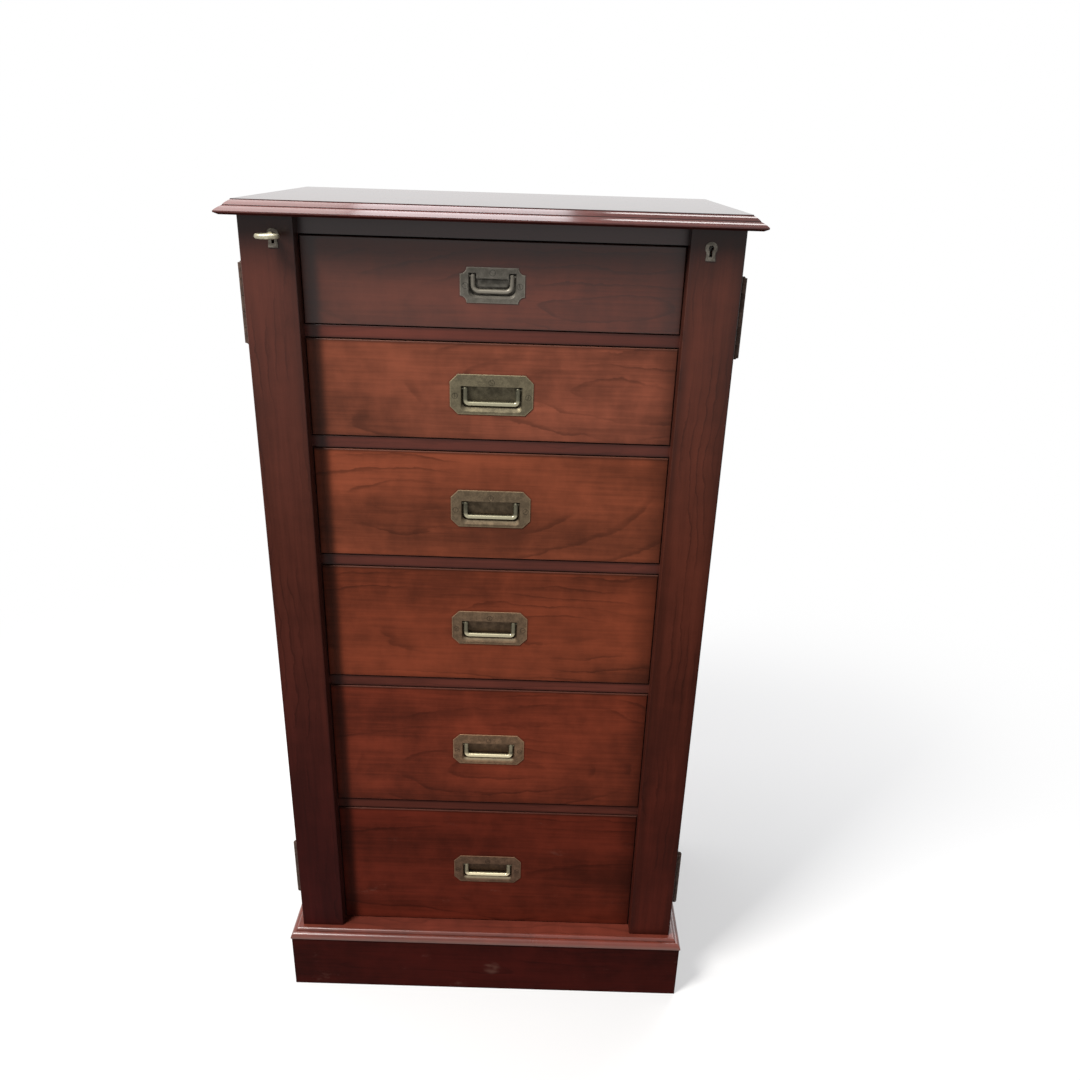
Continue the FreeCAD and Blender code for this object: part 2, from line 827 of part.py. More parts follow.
def handle_plate(number):
    """A recessed plate: a flat with cut corners, a flared pocket and the pan behind it."""
    handle = handle_of(number)
    z = handle_z(number)
    front = face_y - plate_proud
    plate = plate_blank(handle, front, z, plate_thickness)
    plate = softened(plate, plate_arris_radius, lambda edge: lies_at(edge, "y", front))
    plate = plate.fuse(pan_block(handle, z))
    mouth = [
        pocket_wire(handle, front, z, handle.lip_side, handle.lip_foot),
        pocket_wire(handle, front + lip_depth, z, 0.0, 0.0),
    ]
    plate = plate.cut(Part.makeLoft(mouth, True, True))
    pocket = Part.Face(pocket_wire(handle, front, z, 0.0, 0.0)).extrude(V(0, handle.pocket_depth, 0))
    plate = plate.cut(pocket)
    if handle.panel_rise > 0:
        plate = plate.fuse(pocket_panel(handle, z))
    plate = plate.cut(bail_pins(handle, z, bail_pin_clearance, overrun))
    for screw in screw_blanks(number):
        plate = plate.cut(screw)
    return plate.removeSplitter()


def bail_pins(handle, z, side_room, end_room):
    """The two pins that a bail turns on, with room around them and at their ends."""
    pins = []
    for side in (-1, 1):
        reach = (handle.pocket_width - handle.bar_span) / 2 + pan_wall + end_room
        pins.append(Part.makeCylinder(
            bail_pin_radius + side_room, reach,
            V(side * handle.bar_span / 2, bar_axis_y(handle), z + handle.pivot_height), V(side, 0, 0),
        ))
    return pins[0].fuse(pins[1])


def bail(number):
    """A drop handle: a round bar bent to a U, hanging in the pocket from two pins."""
    handle = handle_of(number)
    z = handle_z(number)
    y = bar_axis_y(handle)
    half = handle.bar_span / 2
    bend = handle.bar_bend
    top = z + handle.pivot_height
    low = z - handle.bar_low
    left_arc, right_arc = foot_arcs(half, y, low, bend)
    path = Part.Wire([
        Part.makeLine(V(-half, y, top), V(-half, y, low + bend)),
        left_arc,
        Part.makeLine(V(-half + bend, y, low), V(half - bend, y, low)),
        right_arc,
        Part.makeLine(V(half, y, low + bend), V(half, y, top)),
    ])
    section = Part.Wire(Part.makeCircle(handle.bar_radius, V(-half, y, top), V(0, 0, 1)))
    bar = path.makePipeShell([section], True, False)
    for side in (-1, 1):
        bar = bar.fuse(Part.makeSphere(handle.bar_radius, V(side * half, y, top)))
    return bar.fuse(bail_pins(handle, z, 0.0, -bail_pin_end_gap)).removeSplitter()


def screw_places(number):
    """Where a handle's three screws stand: over the pocket and at its two sides."""
    handle = handle_of(number)
    z = handle_z(number)
    half = handle.screw_span / 2
    return [
        (0.0, z + handle.screw_rise), (-half, z - handle.screw_drop), (half, z - handle.screw_drop)
    ]


def screw_blanks(number):
    """The screws of a handle before their slots are cut."""
    front = face_y - plate_proud
    blanks = []
    for x, z in screw_places(number):
        head = Part.makeCone(
            screw_head_radius, screw_radius, screw_head_height, V(x, front, z), V(0, 1, 0)
        )
        blanks.append(head.fuse(rod_along_y(screw_radius, x, z, front, front + screw_length)))
    return blanks


def handle_screws(number):
    """Countersunk screws, each with its slot turned a different way."""
    front = face_y - plate_proud
    screws = []
    for index, (place, blank) in enumerate(zip(screw_places(number), screw_blanks(number))):
        x, z = place
        slot = block(
            x - screw_head_radius, x + screw_head_radius, front - overrun, front + screw_slot_depth,
            z - screw_slot_width / 2, z + screw_slot_width / 2,
        )
        turn = 180 * (number + index) / (drawer_count + 1)
        slot.rotate(V(x, front, z), V(0, 1, 0), turn)
        screws.append(blank.cut(slot).removeSplitter())
    return screws


def drawer_levels(number):
    """The lowest and highest point of a drawer's front."""
    low, high = openings[number - 1]
    return low + drawer_gap, high - drawer_gap


def drawer_bottom(number):
    """The bottom of a drawer, let into the front and both linings."""
    low, _ = drawer_levels(number)
    half = half_lining - lining_thickness + drawer_groove_depth
    z = low + drawer_bottom_height
    return block(
        -half, half, face_y + front_thickness - drawer_groove_depth,
        back_y - back_thickness - drawer_back_gap, z, z + drawer_bottom_thickness,
    )


def lining_levels(number):
    """The running edge and the top edge of a drawer's linings."""
    low, high = drawer_levels(number)
    return low - drawer_gap, high - lining_drop


def dovetails(number):
    """The tails of a right lining, evenly spaced, that lap into the end of the front."""
    low, high = lining_levels(number)
    count = round((high - low) / dovetail_pitch)
    pitch = (high - low) / count
    neck = pitch * dovetail_neck_share / 2
    end = pitch * dovetail_end_share / 2
    x = half_lining - lining_thickness
    shoulder = face_y + front_thickness
    tip = shoulder - dovetail_depth
    tails = []
    for index in range(count):
        z = low + pitch * (index + 0.5)
        points = [V(x, shoulder, z - neck), V(x, tip, z - end), V(x, tip, z + end), V(x, shoulder, z + neck)]
        tails.append(prism(points, V(lining_thickness, 0, 0)))
    return tails


def drawer_front(number):
    """A drawer front with softened arrises and the recess for its handle."""
    low, high = drawer_levels(number)
    handle = handle_of(number)
    z = handle_z(number)
    front = block(-half_drawer, half_drawer, face_y, face_y + front_thickness, low, high)
    front = softened(front, front_arris_radius, lambda edge: lies_at(edge, "y", face_y))
    inlet_depth = overrun + plate_thickness - plate_proud
    inlet = plate_blank(handle, face_y - overrun, z, inlet_depth)
    front = front.cut(inlet).cut(pan_block(handle, z))
    for screw in screw_blanks(number):
        front = front.cut(screw)
    for tail in dovetails(number):
        front = front.cut(tail).cut(mirrored(tail))
    return front.cut(drawer_bottom(number)).removeSplitter()


def drawer_box(number):
    """The linings, the back and the bottom of a drawer."""
    bottom = drawer_bottom(number)
    rear = bottom.BoundBox.YMax
    runner, lining_top = lining_levels(number)
    lining = block(
        half_lining - lining_thickness, half_lining, face_y + front_thickness, rear, runner, lining_top
    )
    for tail in dovetails(number):
        lining = lining.fuse(tail)
    lining = lining.cut(bottom).removeSplitter()
    half = half_lining - lining_thickness
    back = block(
        -half, half, rear - lining_thickness, rear, bottom.BoundBox.ZMax, lining_top - drawer_back_drop
    )
    return [mirrored(lining), lining, back, bottom]


def save(name, shapes):
    """Writes one node, which may be a group of separate solids."""
    solids = shapes if isinstance(shapes, list) else [shapes]
    whole = Part.makeCompound(solids) if len(solids) > 1 else solids[0]
    whole.exportStep(os.path.join("parts", name + ".step"))


def carcass_nodes():
    """The nodes that stand still."""
    side = right_side()
    post = right_post()
    plinth_side = plinth_right()
    return {
        "top_board": top_board(),
        "left_side": mirrored(side),
        "right_side": side,
        "back_panel": back_panel(),
        "left_post": mirrored(post),
        "right_post": post,
        "top_rail": top_rail(),
        "drawer_rails": drawer_rails(),
        "dust_boards": dust_boards(),
        "drawer_guides": drawer_guides(),
        "base_board": base_board(),
        "plinth_front": plinth_front(),
        "plinth_sides": [mirrored(plinth_side), plinth_side],
        "plinth_back": plinth_back(),
        "plinth_cap": plinth_cap(),
        "corner_blocks": corner_blocks(),
        "carcass_hinge_leaves": carcass_leaves(),
        "hinge_pins": hinge_pins(),
    }


def stile_nodes():
    """The nodes of both stiles, with their locks, and the key."""
    leaves = stile_leaves()
    nodes = {
        "left_stile_hinge_leaves": [mirrored(leaf) for leaf in leaves],
        "right_stile_hinge_leaves": leaves,
        "key": key(),
    }
    for name, make in (
        ("stile", right_stile), ("lock_case", right_lock_case),
        ("bolt", right_bolt), ("escutcheon", right_escutcheon),
    ):
        piece = make()
        nodes["left_" + name] = mirrored(piece)
        nodes["right_" + name] = piece
    return nodes


def drawer_nodes(number):
    """The nodes of one drawer and its handle."""
    return {
        f"drawer_{number}_front": drawer_front(number),
        f"drawer_{number}_box": drawer_box(number),
        f"handle_{number}_plate": handle_plate(number),
        f"handle_{number}_bail": bail(number),
        f"handle_{number}_screws": handle_screws(number),
    }


def main():
    """Builds every node and writes it to its own file."""
    os.makedirs("parts", exist_ok=True)
    nodes = carcass_nodes()
    nodes.update(stile_nodes())
    for number in range(1, drawer_count + 1):
        nodes.update(drawer_nodes(number))
    for name, shapes in nodes.items():
        save(name, shapes)
    print(len(nodes), "nodes written")


main()
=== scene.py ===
"""Looks for a wellington chest: six graduated drawers between two hinged, locking stiles.

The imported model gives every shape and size. This script gives each node its polish, metal or bare
timber, adds the screws of the hinges and locks, and sets up the studio and the camera. Lengths are
metres.
"""

import logging
import math
from dataclasses import dataclass, field, replace
from enum import Enum

import bpy
import numpy as np
from mathutils import Matrix, Vector


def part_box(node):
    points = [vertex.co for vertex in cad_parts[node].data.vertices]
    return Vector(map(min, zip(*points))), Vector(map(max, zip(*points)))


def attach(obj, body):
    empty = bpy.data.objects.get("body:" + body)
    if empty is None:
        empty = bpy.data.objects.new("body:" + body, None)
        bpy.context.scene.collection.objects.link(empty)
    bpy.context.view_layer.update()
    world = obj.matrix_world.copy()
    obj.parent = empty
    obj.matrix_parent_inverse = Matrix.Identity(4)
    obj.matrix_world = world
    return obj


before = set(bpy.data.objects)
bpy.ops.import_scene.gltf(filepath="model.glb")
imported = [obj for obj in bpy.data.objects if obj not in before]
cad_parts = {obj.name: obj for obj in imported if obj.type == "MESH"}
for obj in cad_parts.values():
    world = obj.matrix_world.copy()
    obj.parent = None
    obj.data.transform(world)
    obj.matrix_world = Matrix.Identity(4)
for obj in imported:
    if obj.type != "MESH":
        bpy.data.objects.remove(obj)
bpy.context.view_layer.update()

log = logging.getLogger("wellington_chest")

Colour = tuple[float, float, float, float]
DRAWER_COUNT = 6
NOISE_MEAN = 0.5
# The Mix node's sockets for colours, whose names its sockets for other values have too.
MIX_SHARE, MIX_FIRST, MIX_SECOND, MIX_RESULT = 0, 6, 7, 2


def screen_colour(red: float, green: float, blue: float) -> Colour:
    """Turns a colour as it looks on a screen into the linear light that shaders use, by the sRGB curve.

    Args:
        red: Screen level from 0 to 255.
        green: Screen level from 0 to 255.
        blue: Screen level from 0 to 255.

    Returns:
        The linear colour, opaque.
    """
    levels = [level / 255 for level in (red, green, blue)]
    linear = [v / 12.92 if v <= 0.04045 else ((v + 0.055) / 1.055) ** 2.4 for v in levels]
    return (linear[0], linear[1], linear[2], 1.0)


class Field:
    """A value that changes over a surface; arithmetic on it adds Math nodes."""

    def __init__(self, bench: "Bench", socket: bpy.types.NodeSocket) -> None:
        """Keeps the socket and the bench that it is on."""
        self.bench = bench
        self.socket = socket

    def math(self, operation: str, *values: "Field | float") -> "Field":
        """Adds a Math node.

        Args:
            operation: The Math node's operation.
            values: Its inputs, in order.

        Returns:
            The result.
        """
        return self.bench.node("ShaderNodeMath", {"operation": operation}, dict(enumerate(values)))

    def __add__(self, other: "Field | float") -> "Field":
        """The sum."""
        return self.math("ADD", self, other)

    __radd__ = __add__

    def __mul__(self, other: "Field | float") -> "Field":
        """The product."""
        return self.math("MULTIPLY", self, other)

    __rmul__ = __mul__

    def __sub__(self, other: "Field | float") -> "Field":
        """The difference."""
        return self.math("SUBTRACT", self, other)

    def __rsub__(self, other: float) -> "Field":
        """The difference, the other way round."""
        return self.math("SUBTRACT", other, self)

    def __truediv__(self, other: "Field | float") -> "Field":
        """The quotient."""
        return self.math("DIVIDE", self, other)

    def __rtruediv__(self, other: float) -> "Field":
        """The quotient, the other way round."""
        return self.math("DIVIDE", other, self)

    def __abs__(self) -> "Field":
        """The size without its sign."""
        return self.math("ABSOLUTE", self)

    def root(self) -> "Field":
        """The square root."""
        return self.math("SQRT", self)

    def cycle(self) -> "Field":
        """The part past the whole number, which runs from 0 to 1 again and again."""
        return self.math("FRACT", self)

    def least(self, other: "Field | float") -> "Field":
        """The smaller of two."""
        return self.math("MINIMUM", self, other)

    def most(self, other: "Field | float") -> "Field":
        """The larger of two."""
        return self.math("MAXIMUM", self, other)

    def rise(self, start: float, end: float) -> "Field":
        """Goes smoothly from 0 at start to 1 at end.

        Args:
            start: The value at which the rise begins.
            end: The value at which it is complete; it may lie below start.

        Returns:
            A share from 0 to 1.
        """
        return self.bench.node(
            "ShaderNodeMapRange",
            {"interpolation_type": "SMOOTHSTEP"},
            {"Value": self, "From Min": start, "From Max": end},
        )

    def output(self, name: str) -> "Field":
        """Another output of the same node."""
        return Field(self.bench, self.socket.node.outputs[name])


class Bench:
    """The node tree of one material or of the world."""

    def __init__(self, tree: bpy.types.NodeTree) -> None:
        """Clears the tree."""
        self.tree = tree
        tree.nodes.clear()

    def node(
        self,
        kind: str,
        settings: dict[str, object] | None = None,
        inputs: dict[str | int, object] | None = None,
        output: str | int = 0,
    ) -> Field:
        """Adds any node.

        Args:
            kind: The node's type.
            settings: Its own settings, which are set first.
            inputs: A value or a Field for each named or numbered socket.
            output: Which output is wanted.

        Returns:
            That output, or an empty Field where the node has none.
        """
        made = self.tree.nodes.new(kind)
        for name, value in (settings or {}).items():
            setattr(made, name, value)
        for name, value in (inputs or {}).items():
            if isinstance(value, Field):
                self.tree.links.new(value.socket, made.inputs[name])
            else:
                made.inputs[name].default_value = value
        return Field(self, made.outputs[output] if len(made.outputs) else None)

    def place(self) -> tuple[Field, Field, Field]:
        """Finds where a point lies on the chest.

        Returns:
            Its X, Y and Z.
        """
        here = self.node("ShaderNodeTexCoord", output="Object")
        x = self.node("ShaderNodeSeparateXYZ", inputs={"Vector": here}, output="X")
        return x, x.output("Y"), x.output("Z")

    def noise(self, x: Field, y: Field, z: Field, detail: float = 2.0, roughness: float = 0.5) -> Field:
        """Cloudy variation with features about one unit across.

        Args:
            x: First coordinate, scaled as wanted.
            y: Second coordinate.
            z: Third coordinate.
            detail: How many finer layers are added.
            roughness: How strong the finer layers are.

        Returns:
            A value around a half.
        """
        point = self.node("ShaderNodeCombineXYZ", inputs={"X": x, "Y": y, "Z": z})
        settings = {"Vector": point, "Scale": 1.0, "Detail": detail, "Roughness": roughness}
        return self.node("ShaderNodeTexNoise", inputs=settings)

    def blend(self, first: Field | Colour, second: Field | Colour, share: Field | float) -> Field:
        """Mixes two colours.

        Args:
            first: The colour at a share of 0.
            second: The colour at a share of 1.
            share: How much of the second shows.

        Returns:
            The mixed colour.
        """
        inputs = {MIX_SHARE: share, MIX_FIRST: first, MIX_SECOND: second}
        return self.node("ShaderNodeMix", {"data_type": "RGBA"}, inputs, MIX_RESULT)

    def relief(self, height: Field, strength: float, depth: float) -> Field:
        """The normal of a surface whose height changes by up to the depth."""
        inputs = {"Strength": strength, "Distance": depth, "Height": height}
        return self.node("ShaderNodeBump", inputs=inputs)

    def surface(self, inputs: dict[str, object]) -> None:
        """Closes the tree with a Principled shader that has these inputs."""
        shader = self.node("ShaderNodeBsdfPrincipled", inputs=inputs)
        self.node("ShaderNodeOutputMaterial", inputs={"Surface": shader})


def new_material(name: str) -> tuple[bpy.types.Material, Bench]:
    """Makes an empty material.

    Args:
        name: The material's name.

    Returns:
        The material and its bench.
    """
    material = bpy.data.materials.new(name)
    material.use_nodes = True
    return material, Bench(material.node_tree)


class Grain(Enum):
    """Which axes lie along the grain, across the board's face and into its thickness."""

    ACROSS_FRONT = (0, 2, 1)
    UP_FRONT = (2, 0, 1)
    UP_SIDE = (2, 1, 0)
    ACROSS_TOP = (0, 1, 2)
    TO_BACK = (1, 2, 0)


@dataclass(frozen=True)
class Pattern:
    """Variation in a wood: features per metre along and across the grain, and its finer layers."""

    along: float
    across: float
    detail: float = 2.0
    roughness: float = 0.5


SLOW_BENDS = Pattern(4.0, 11.0)
QUICK_BENDS = Pattern(26.0, 60.0, detail=3.0, roughness=0.65)
RING_GAPS = Pattern(7.0, 24.0)
CLOUDS = Pattern(3.0, 13.0, detail=3.0)
MOTTLING = Pattern(38.0, 26.0, detail=3.0, roughness=0.55)
STREAKS = Pattern(7.0, 170.0, detail=4.0, roughness=0.65)
PORES = Pattern(38.0, 620.0)
POLISH_HAZE = Pattern(6.0, 11.0, detail=3.0)
RUBS = Pattern(13.0, 22.0, detail=5.0, roughness=0.72)
RUB_GAPS = Pattern(40.0, 90.0)


@dataclass(frozen=True)
class Board:
    """Where a point lies in its own board: along the grain, across it and into the thickness."""

    bench: Bench
    along: Field
    across: Field
    depth: Field
    ends: tuple[tuple[float, float], ...]
    seed: float

    def noise(self, pattern: Pattern) -> Field:
        """Variation drawn out along the grain.

        Args:
            pattern: Its scale and its finer layers.

        Returns:
            A value that swings about zero.
        """
        first = (self.along + self.seed) * pattern.along
        aside, inward = self.across * pattern.across, self.depth * pattern.across
        return self.bench.noise(first, aside, inward, pattern.detail, pattern.roughness) - NOISE_MEAN

    def from_ends(self) -> tuple[Field, Field]:
        """The distances along the grain from the two ends of the face."""
        start, stop = self.ends[0]
        return self.along - start, stop - self.along

    def from_edge(self) -> Field:
        """Finds the nearest edge of the face.

        Returns:
            The distance from it.
        """
        low, high = self.ends[1]
        near, far = self.from_ends()
        return near.least(far).least((self.across - low).least(high - self.across))


@dataclass(frozen=True)
class Sawing:
    """How a board was sawn from the log, as shares of its own length and width.

    The rings are cylinders round the heart of the log, which the face of the board leaves or
    reaches along its length, so they show as nested ovals there and as long lines elsewhere.
    """

    heart_along_share: float = 1.6
    heart_across_share: float = 0.5
    lean: float = 0.08
    ring_pitch: float = 0.018
    waviness: float = 0.07
    seed: float = 0.0
    quick_share: float = 0.2
    inward_share: float = 0.5
    line_start: tuple[float, float] = (0.7, 0.92)
    line_end: tuple[float, float] = (1.0, 0.94)
    late_wood: tuple[float, float] = (0.1, 0.9)
    late_wood_share: float = 0.3
    gap_levels: tuple[float, float] = (-0.1, 0.14)

    def rings(self, board: Board) -> Field:
        """Works out the dark line at the end of each year's growth.

        The ring phase is the distance from the heart, sqrt(aside^2 + (lean * along + depth)^2),
        bent by slow and quick noise and divided by the pitch. A line is narrow and comes and goes, and
        the late wood before it is darker.

        Args:
            board: The board's own coordinates.

        Returns:
            1 on a line and 0 between lines.
        """
        slow, quick = board.noise(SLOW_BENDS), board.noise(QUICK_BENDS)
        (start, stop), (low, high), (front, _) = board.ends
        heart_along = start + (stop - start) * self.heart_along_share
        heart_across = low + (high - low) * self.heart_across_share
        aside = board.across - heart_across + slow * self.waviness
        aside = aside + quick * (self.waviness * self.quick_share)
        beneath = (board.along - heart_along) * self.lean + (board.depth - front)
        beneath = beneath + slow * (self.waviness * self.inward_share)
        phase = ((aside * aside + beneath * beneath).root() / self.ring_pitch).cycle()
        end = phase.rise(*self.line_end)
        line = phase.rise(*self.line_start) * end
        late = phase.rise(*self.late_wood) * end * self.late_wood_share
        return line.most(late) * board.noise(RING_GAPS).rise(*self.gap_levels)


@dataclass(frozen=True)
class Tint:
    """A colour as it looks on a screen, with levels from 0 to 255."""

    red: float
    green: float
    blue: float

    def at(self, share: float) -> Colour:
        """The linear colour at a share of the tint's own brightness."""
        return screen_colour(self.red * share, self.green * share, self.blue * share)

    def dimmed(self, share: float) -> "Tint":
        """The tint at a share of its own brightness."""
        return Tint(self.red * share, self.green * share, self.blue * share)


@dataclass(frozen=True)
class Timber:
    """A wood, its figure and its polish; every share is from 0 to 1 and every width in metres."""

    tint: Tint
    contrast: float = 0.2
    mottling: float = 0.6
    ring_strength: float = 0.5
    roughness: float = 0.4
    specular: float = 0.1
    coat: float = 0.0
    coat_roughness: float = 0.1
    coat_levels: tuple[float, float] | None = None
    arris_wear_and_highlight: float = 0.0
    arris_width: float = 0.0016
    scuffs: float = 0.0
    edge_dirt_and_shade: float = 0.2
    edge_dirt_and_shade_width: float = 0.007
    end_shades: tuple[float, float] = (0.0, 0.0)
    shade_widths: tuple[float, float] = (0.024, 0.036)
    shade_core: float = 0.014
    line_share: float = 0.5
    wear_and_highlight: Tint = Tint(158, 118, 104)
    # The far tint carries painted light and shade: darker towards the floor on the case, lighter towards the
    # right on the upper drawers.
    far_tint: Tint | None = None
    far_span: tuple[float, float] = (0.9, 0.1)
    cloudiness: float = 1.3
    streakiness: float = 0.6
    mean_tone: float = 0.5
    pore_levels: tuple[float, float] = (0.1, 0.26)
    pore_share: float = 0.25
    dirt_share: float = 0.7
    inlet_dirt_and_shade: float = 1.5
    haze: float = 0.16
    rub_levels: tuple[float, float] = (0.1, 0.3)
    rub_gap_levels: tuple[float, float] = (-0.15, 0.25)
    rub_brightness: float = 0.9
    rub_roughness: float = 0.15
    relief: float = 0.1
    relief_depth: float = 0.0004

    def shade(self, board: Board, level: float) -> Field | Colour:
        """The wood at one level of its brightness; it may go over into another tint along the board.

        Args:
            board: The board's own coordinates.
            level: The share of the tints' own brightness.

        Returns:
            The colour, which changes over the far span where there is a far tint.
        """
        near = self.tint.at(level)
        if self.far_tint is None:
            return near
        return board.bench.blend(near, self.far_tint.at(level), board.along.rise(*self.far_span))

    def figure(self, board: Board, sawing: Sawing) -> Field:
        """Paints the figure: clouds, mottling across the grain, fine streaks, ring lines and pores.

        Args:
            board: The board's own coordinates.
            sawing: How it was sawn.

        Returns:
            The colour.
        """
        clouds, streaks = board.noise(CLOUDS) * self.cloudiness, board.noise(STREAKS) * self.streakiness
        tone = clouds + board.noise(MOTTLING) * self.mottling + streaks + self.mean_tone
        levels = (1 - self.contrast, 1 + self.contrast, self.line_share)
        deep, pale, dark = (self.shade(board, level) for level in levels)
        colour = board.bench.blend(deep, pale, tone.rise(0.0, 1.0))
        colour = board.bench.blend(colour, dark, sawing.rings(board) * self.ring_strength)
        pores = board.noise(PORES).rise(*self.pore_levels)
        return board.bench.blend(colour, dark, pores * self.ring_strength * self.pore_share)

    def end_shade(self, board: Board) -> Field:
        """Works out the shade beside the stiles: a band on the left and a soft fall on the right.

        The band is full at the core and fades towards the end of the board and towards its width.

        Args:
            board: The board's own coordinates.

        Returns:
            How much of the dark tint shows.
        """
        left, right = board.from_ends()
        band = left.rise(self.shade_widths[0], self.shade_core) * left.rise(0.0, self.shade_core)
        soft = right.rise(self.shade_widths[1], 0.0)
        return (band * self.end_shades[0]).most(soft * self.end_shades[1])

    def dress(
        self, node: str, grain: Grain, sawing: Sawing, inlet: "PlateOutline | None" = None,
        marks: "tuple[RingMark, ...]" = (), seams: "tuple[Seam, ...]" = (),
    ) -> bpy.types.Material:
        """Makes the wood of one node.

        Args:
            node: The CAD node.
            grain: Which way its grain runs.
            sawing: How it was sawn.
            inlet: A plate let into its face, round whose edge the wood is darker: dirt with painted shade.
            marks: Stains on its face.
            seams: Level bands of darker colour: painted shade along the joints and under the top, and the top
                board's darker face and quirks.

        Returns:
            The material.
        """
        material, bench = new_material(f"{node}_wood")
        low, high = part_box(node)
        places = bench.place()
        along, across, depth = (places[axis] for axis in grain.value)
        ends = tuple((low[axis], high[axis]) for axis in grain.value)
        board = Board(bench, along, across, depth, ends, sawing.seed)
        colour = self.figure(board, sawing)

        # Darker near the board's edges and round an inlet plate: dirt with painted shade in the joints and
        # along the edges; the dark tint below serves for both.
        edge = board.from_edge()
        dirt = edge.rise(self.edge_dirt_and_shade_width, 0.0)
        if inlet is not None:
            dirt = dirt.most(inlet.distance(places).rise(inlet.dirt_and_shade_width, 0.0) * self.inlet_dirt_and_shade)
        dark = self.tint.at(self.line_share * self.dirt_share)
        colour = bench.blend(colour, dark, dirt * self.edge_dirt_and_shade)
        for seam in seams:
            colour = bench.blend(colour, dark, seam.strength(places))
        if max(self.end_shades) > 0:
            colour = bench.blend(colour, dark, self.end_shade(board))
        # Lighter arrises: bright from use, with a painted highlight.
        if self.arris_wear_and_highlight > 0:
            arris_wear_and_highlight_share = edge.rise(self.arris_width, 0.0) * self.arris_wear_and_highlight
            colour = bench.blend(colour, self.wear_and_highlight.at(1.0), arris_wear_and_highlight_share)

        roughness = board.noise(POLISH_HAZE) * self.haze + self.roughness
        if self.scuffs > 0:
            rub = board.noise(RUBS).rise(*self.rub_levels)
            broken = board.noise(RUB_GAPS).rise(*self.rub_gap_levels)
            for mark in marks:
                rub = rub.most(mark.strength(places) * broken)
            colour = bench.blend(colour, self.wear_and_highlight.at(self.rub_brightness), rub * self.scuffs)
            roughness = roughness + rub * self.rub_roughness
        coat = self.coat
        if self.coat_levels is not None:
            coat = places[2].rise(*self.coat_levels) * self.coat
        bench.surface({
            "Base Color": colour,
            "Roughness": roughness,
            "Normal": bench.relief(board.noise(PORES), self.relief, self.relief_depth),
            "Specular IOR Level": self.specular,
            "Coat Weight": coat,
            "Coat Roughness": self.coat_roughness,
        })
        return material


@dataclass(frozen=True)
class RingMark:
    """A ring of stain or dirt on a face that looks to the front."""

    x: float
    z: float
    radius: float
    width: float

    def strength(self, places: tuple[Field, Field, Field]) -> Field:
        """Works out the ring from the distance to its middle, less its radius.

        Args:
            places: The point's X, Y and Z.

        Returns:
            1 on the ring and 0 away from it.
        """
        aside, above = places[0] - self.x, places[2] - self.z
        off = abs((aside * aside + above * above).root() - self.radius)
        return off.rise(self.width, 0.0)


@dataclass(frozen=True)
class Seam:
    """A level band of darker colour: painted shade along the rails' joints and under the top's overhang, and
    the top board's darker face and quirks.
    """

    z: float
    width: float
    darkness: float = 0.8

    def strength(self, places: tuple[Field, Field, Field]) -> Field:
        """Full on the line and 0 where the height differs by the width."""
        return abs(places[2] - self.z).rise(self.width, 0.0) * self.darkness


class Corner(Enum):
    """How the corners of a handle's plate are cut off."""

    STRAIGHT = "straight"
    HOLLOW = "hollow"


@dataclass(frozen=True)
class PlateOutline:
    """The outline of a handle's plate: a rectangle whose corners are cut off."""

    low: Vector
    high: Vector
    corner: float
    cut: Corner
    dirt_and_shade_width: float = 0.003
    rim_width: float = 0.0016

    def distance(self, places: tuple[Field, Field, Field]) -> Field:
        """How far a point of the face lies outside the plate, less than zero on the plate itself.

        It is the largest of the distances past the two sides, past the top or bottom, and past
        the cut corner. A straight cut is the line |x| + |z| = half width + half height - corner,
        and a hollow one is a circle round the corner that was cut off.

        Args:
            places: The point's X, Y and Z.

        Returns:
            The distance in metres.
        """
        half_width = (self.high.x - self.low.x) / 2
        half_height = (self.high.z - self.low.z) / 2
        beside = abs(places[0] - (self.low.x + half_width))
        above = abs(places[2] - (self.low.z + half_height))
        past_side, past_end = beside - half_width, above - half_height
        if self.cut is Corner.STRAIGHT:
            past_corner = (past_side + past_end + self.corner) * math.sqrt(0.5)
        else:
            past_corner = self.corner - (past_side * past_side + past_end * past_end).root()
        return past_side.most(past_end).most(past_corner)


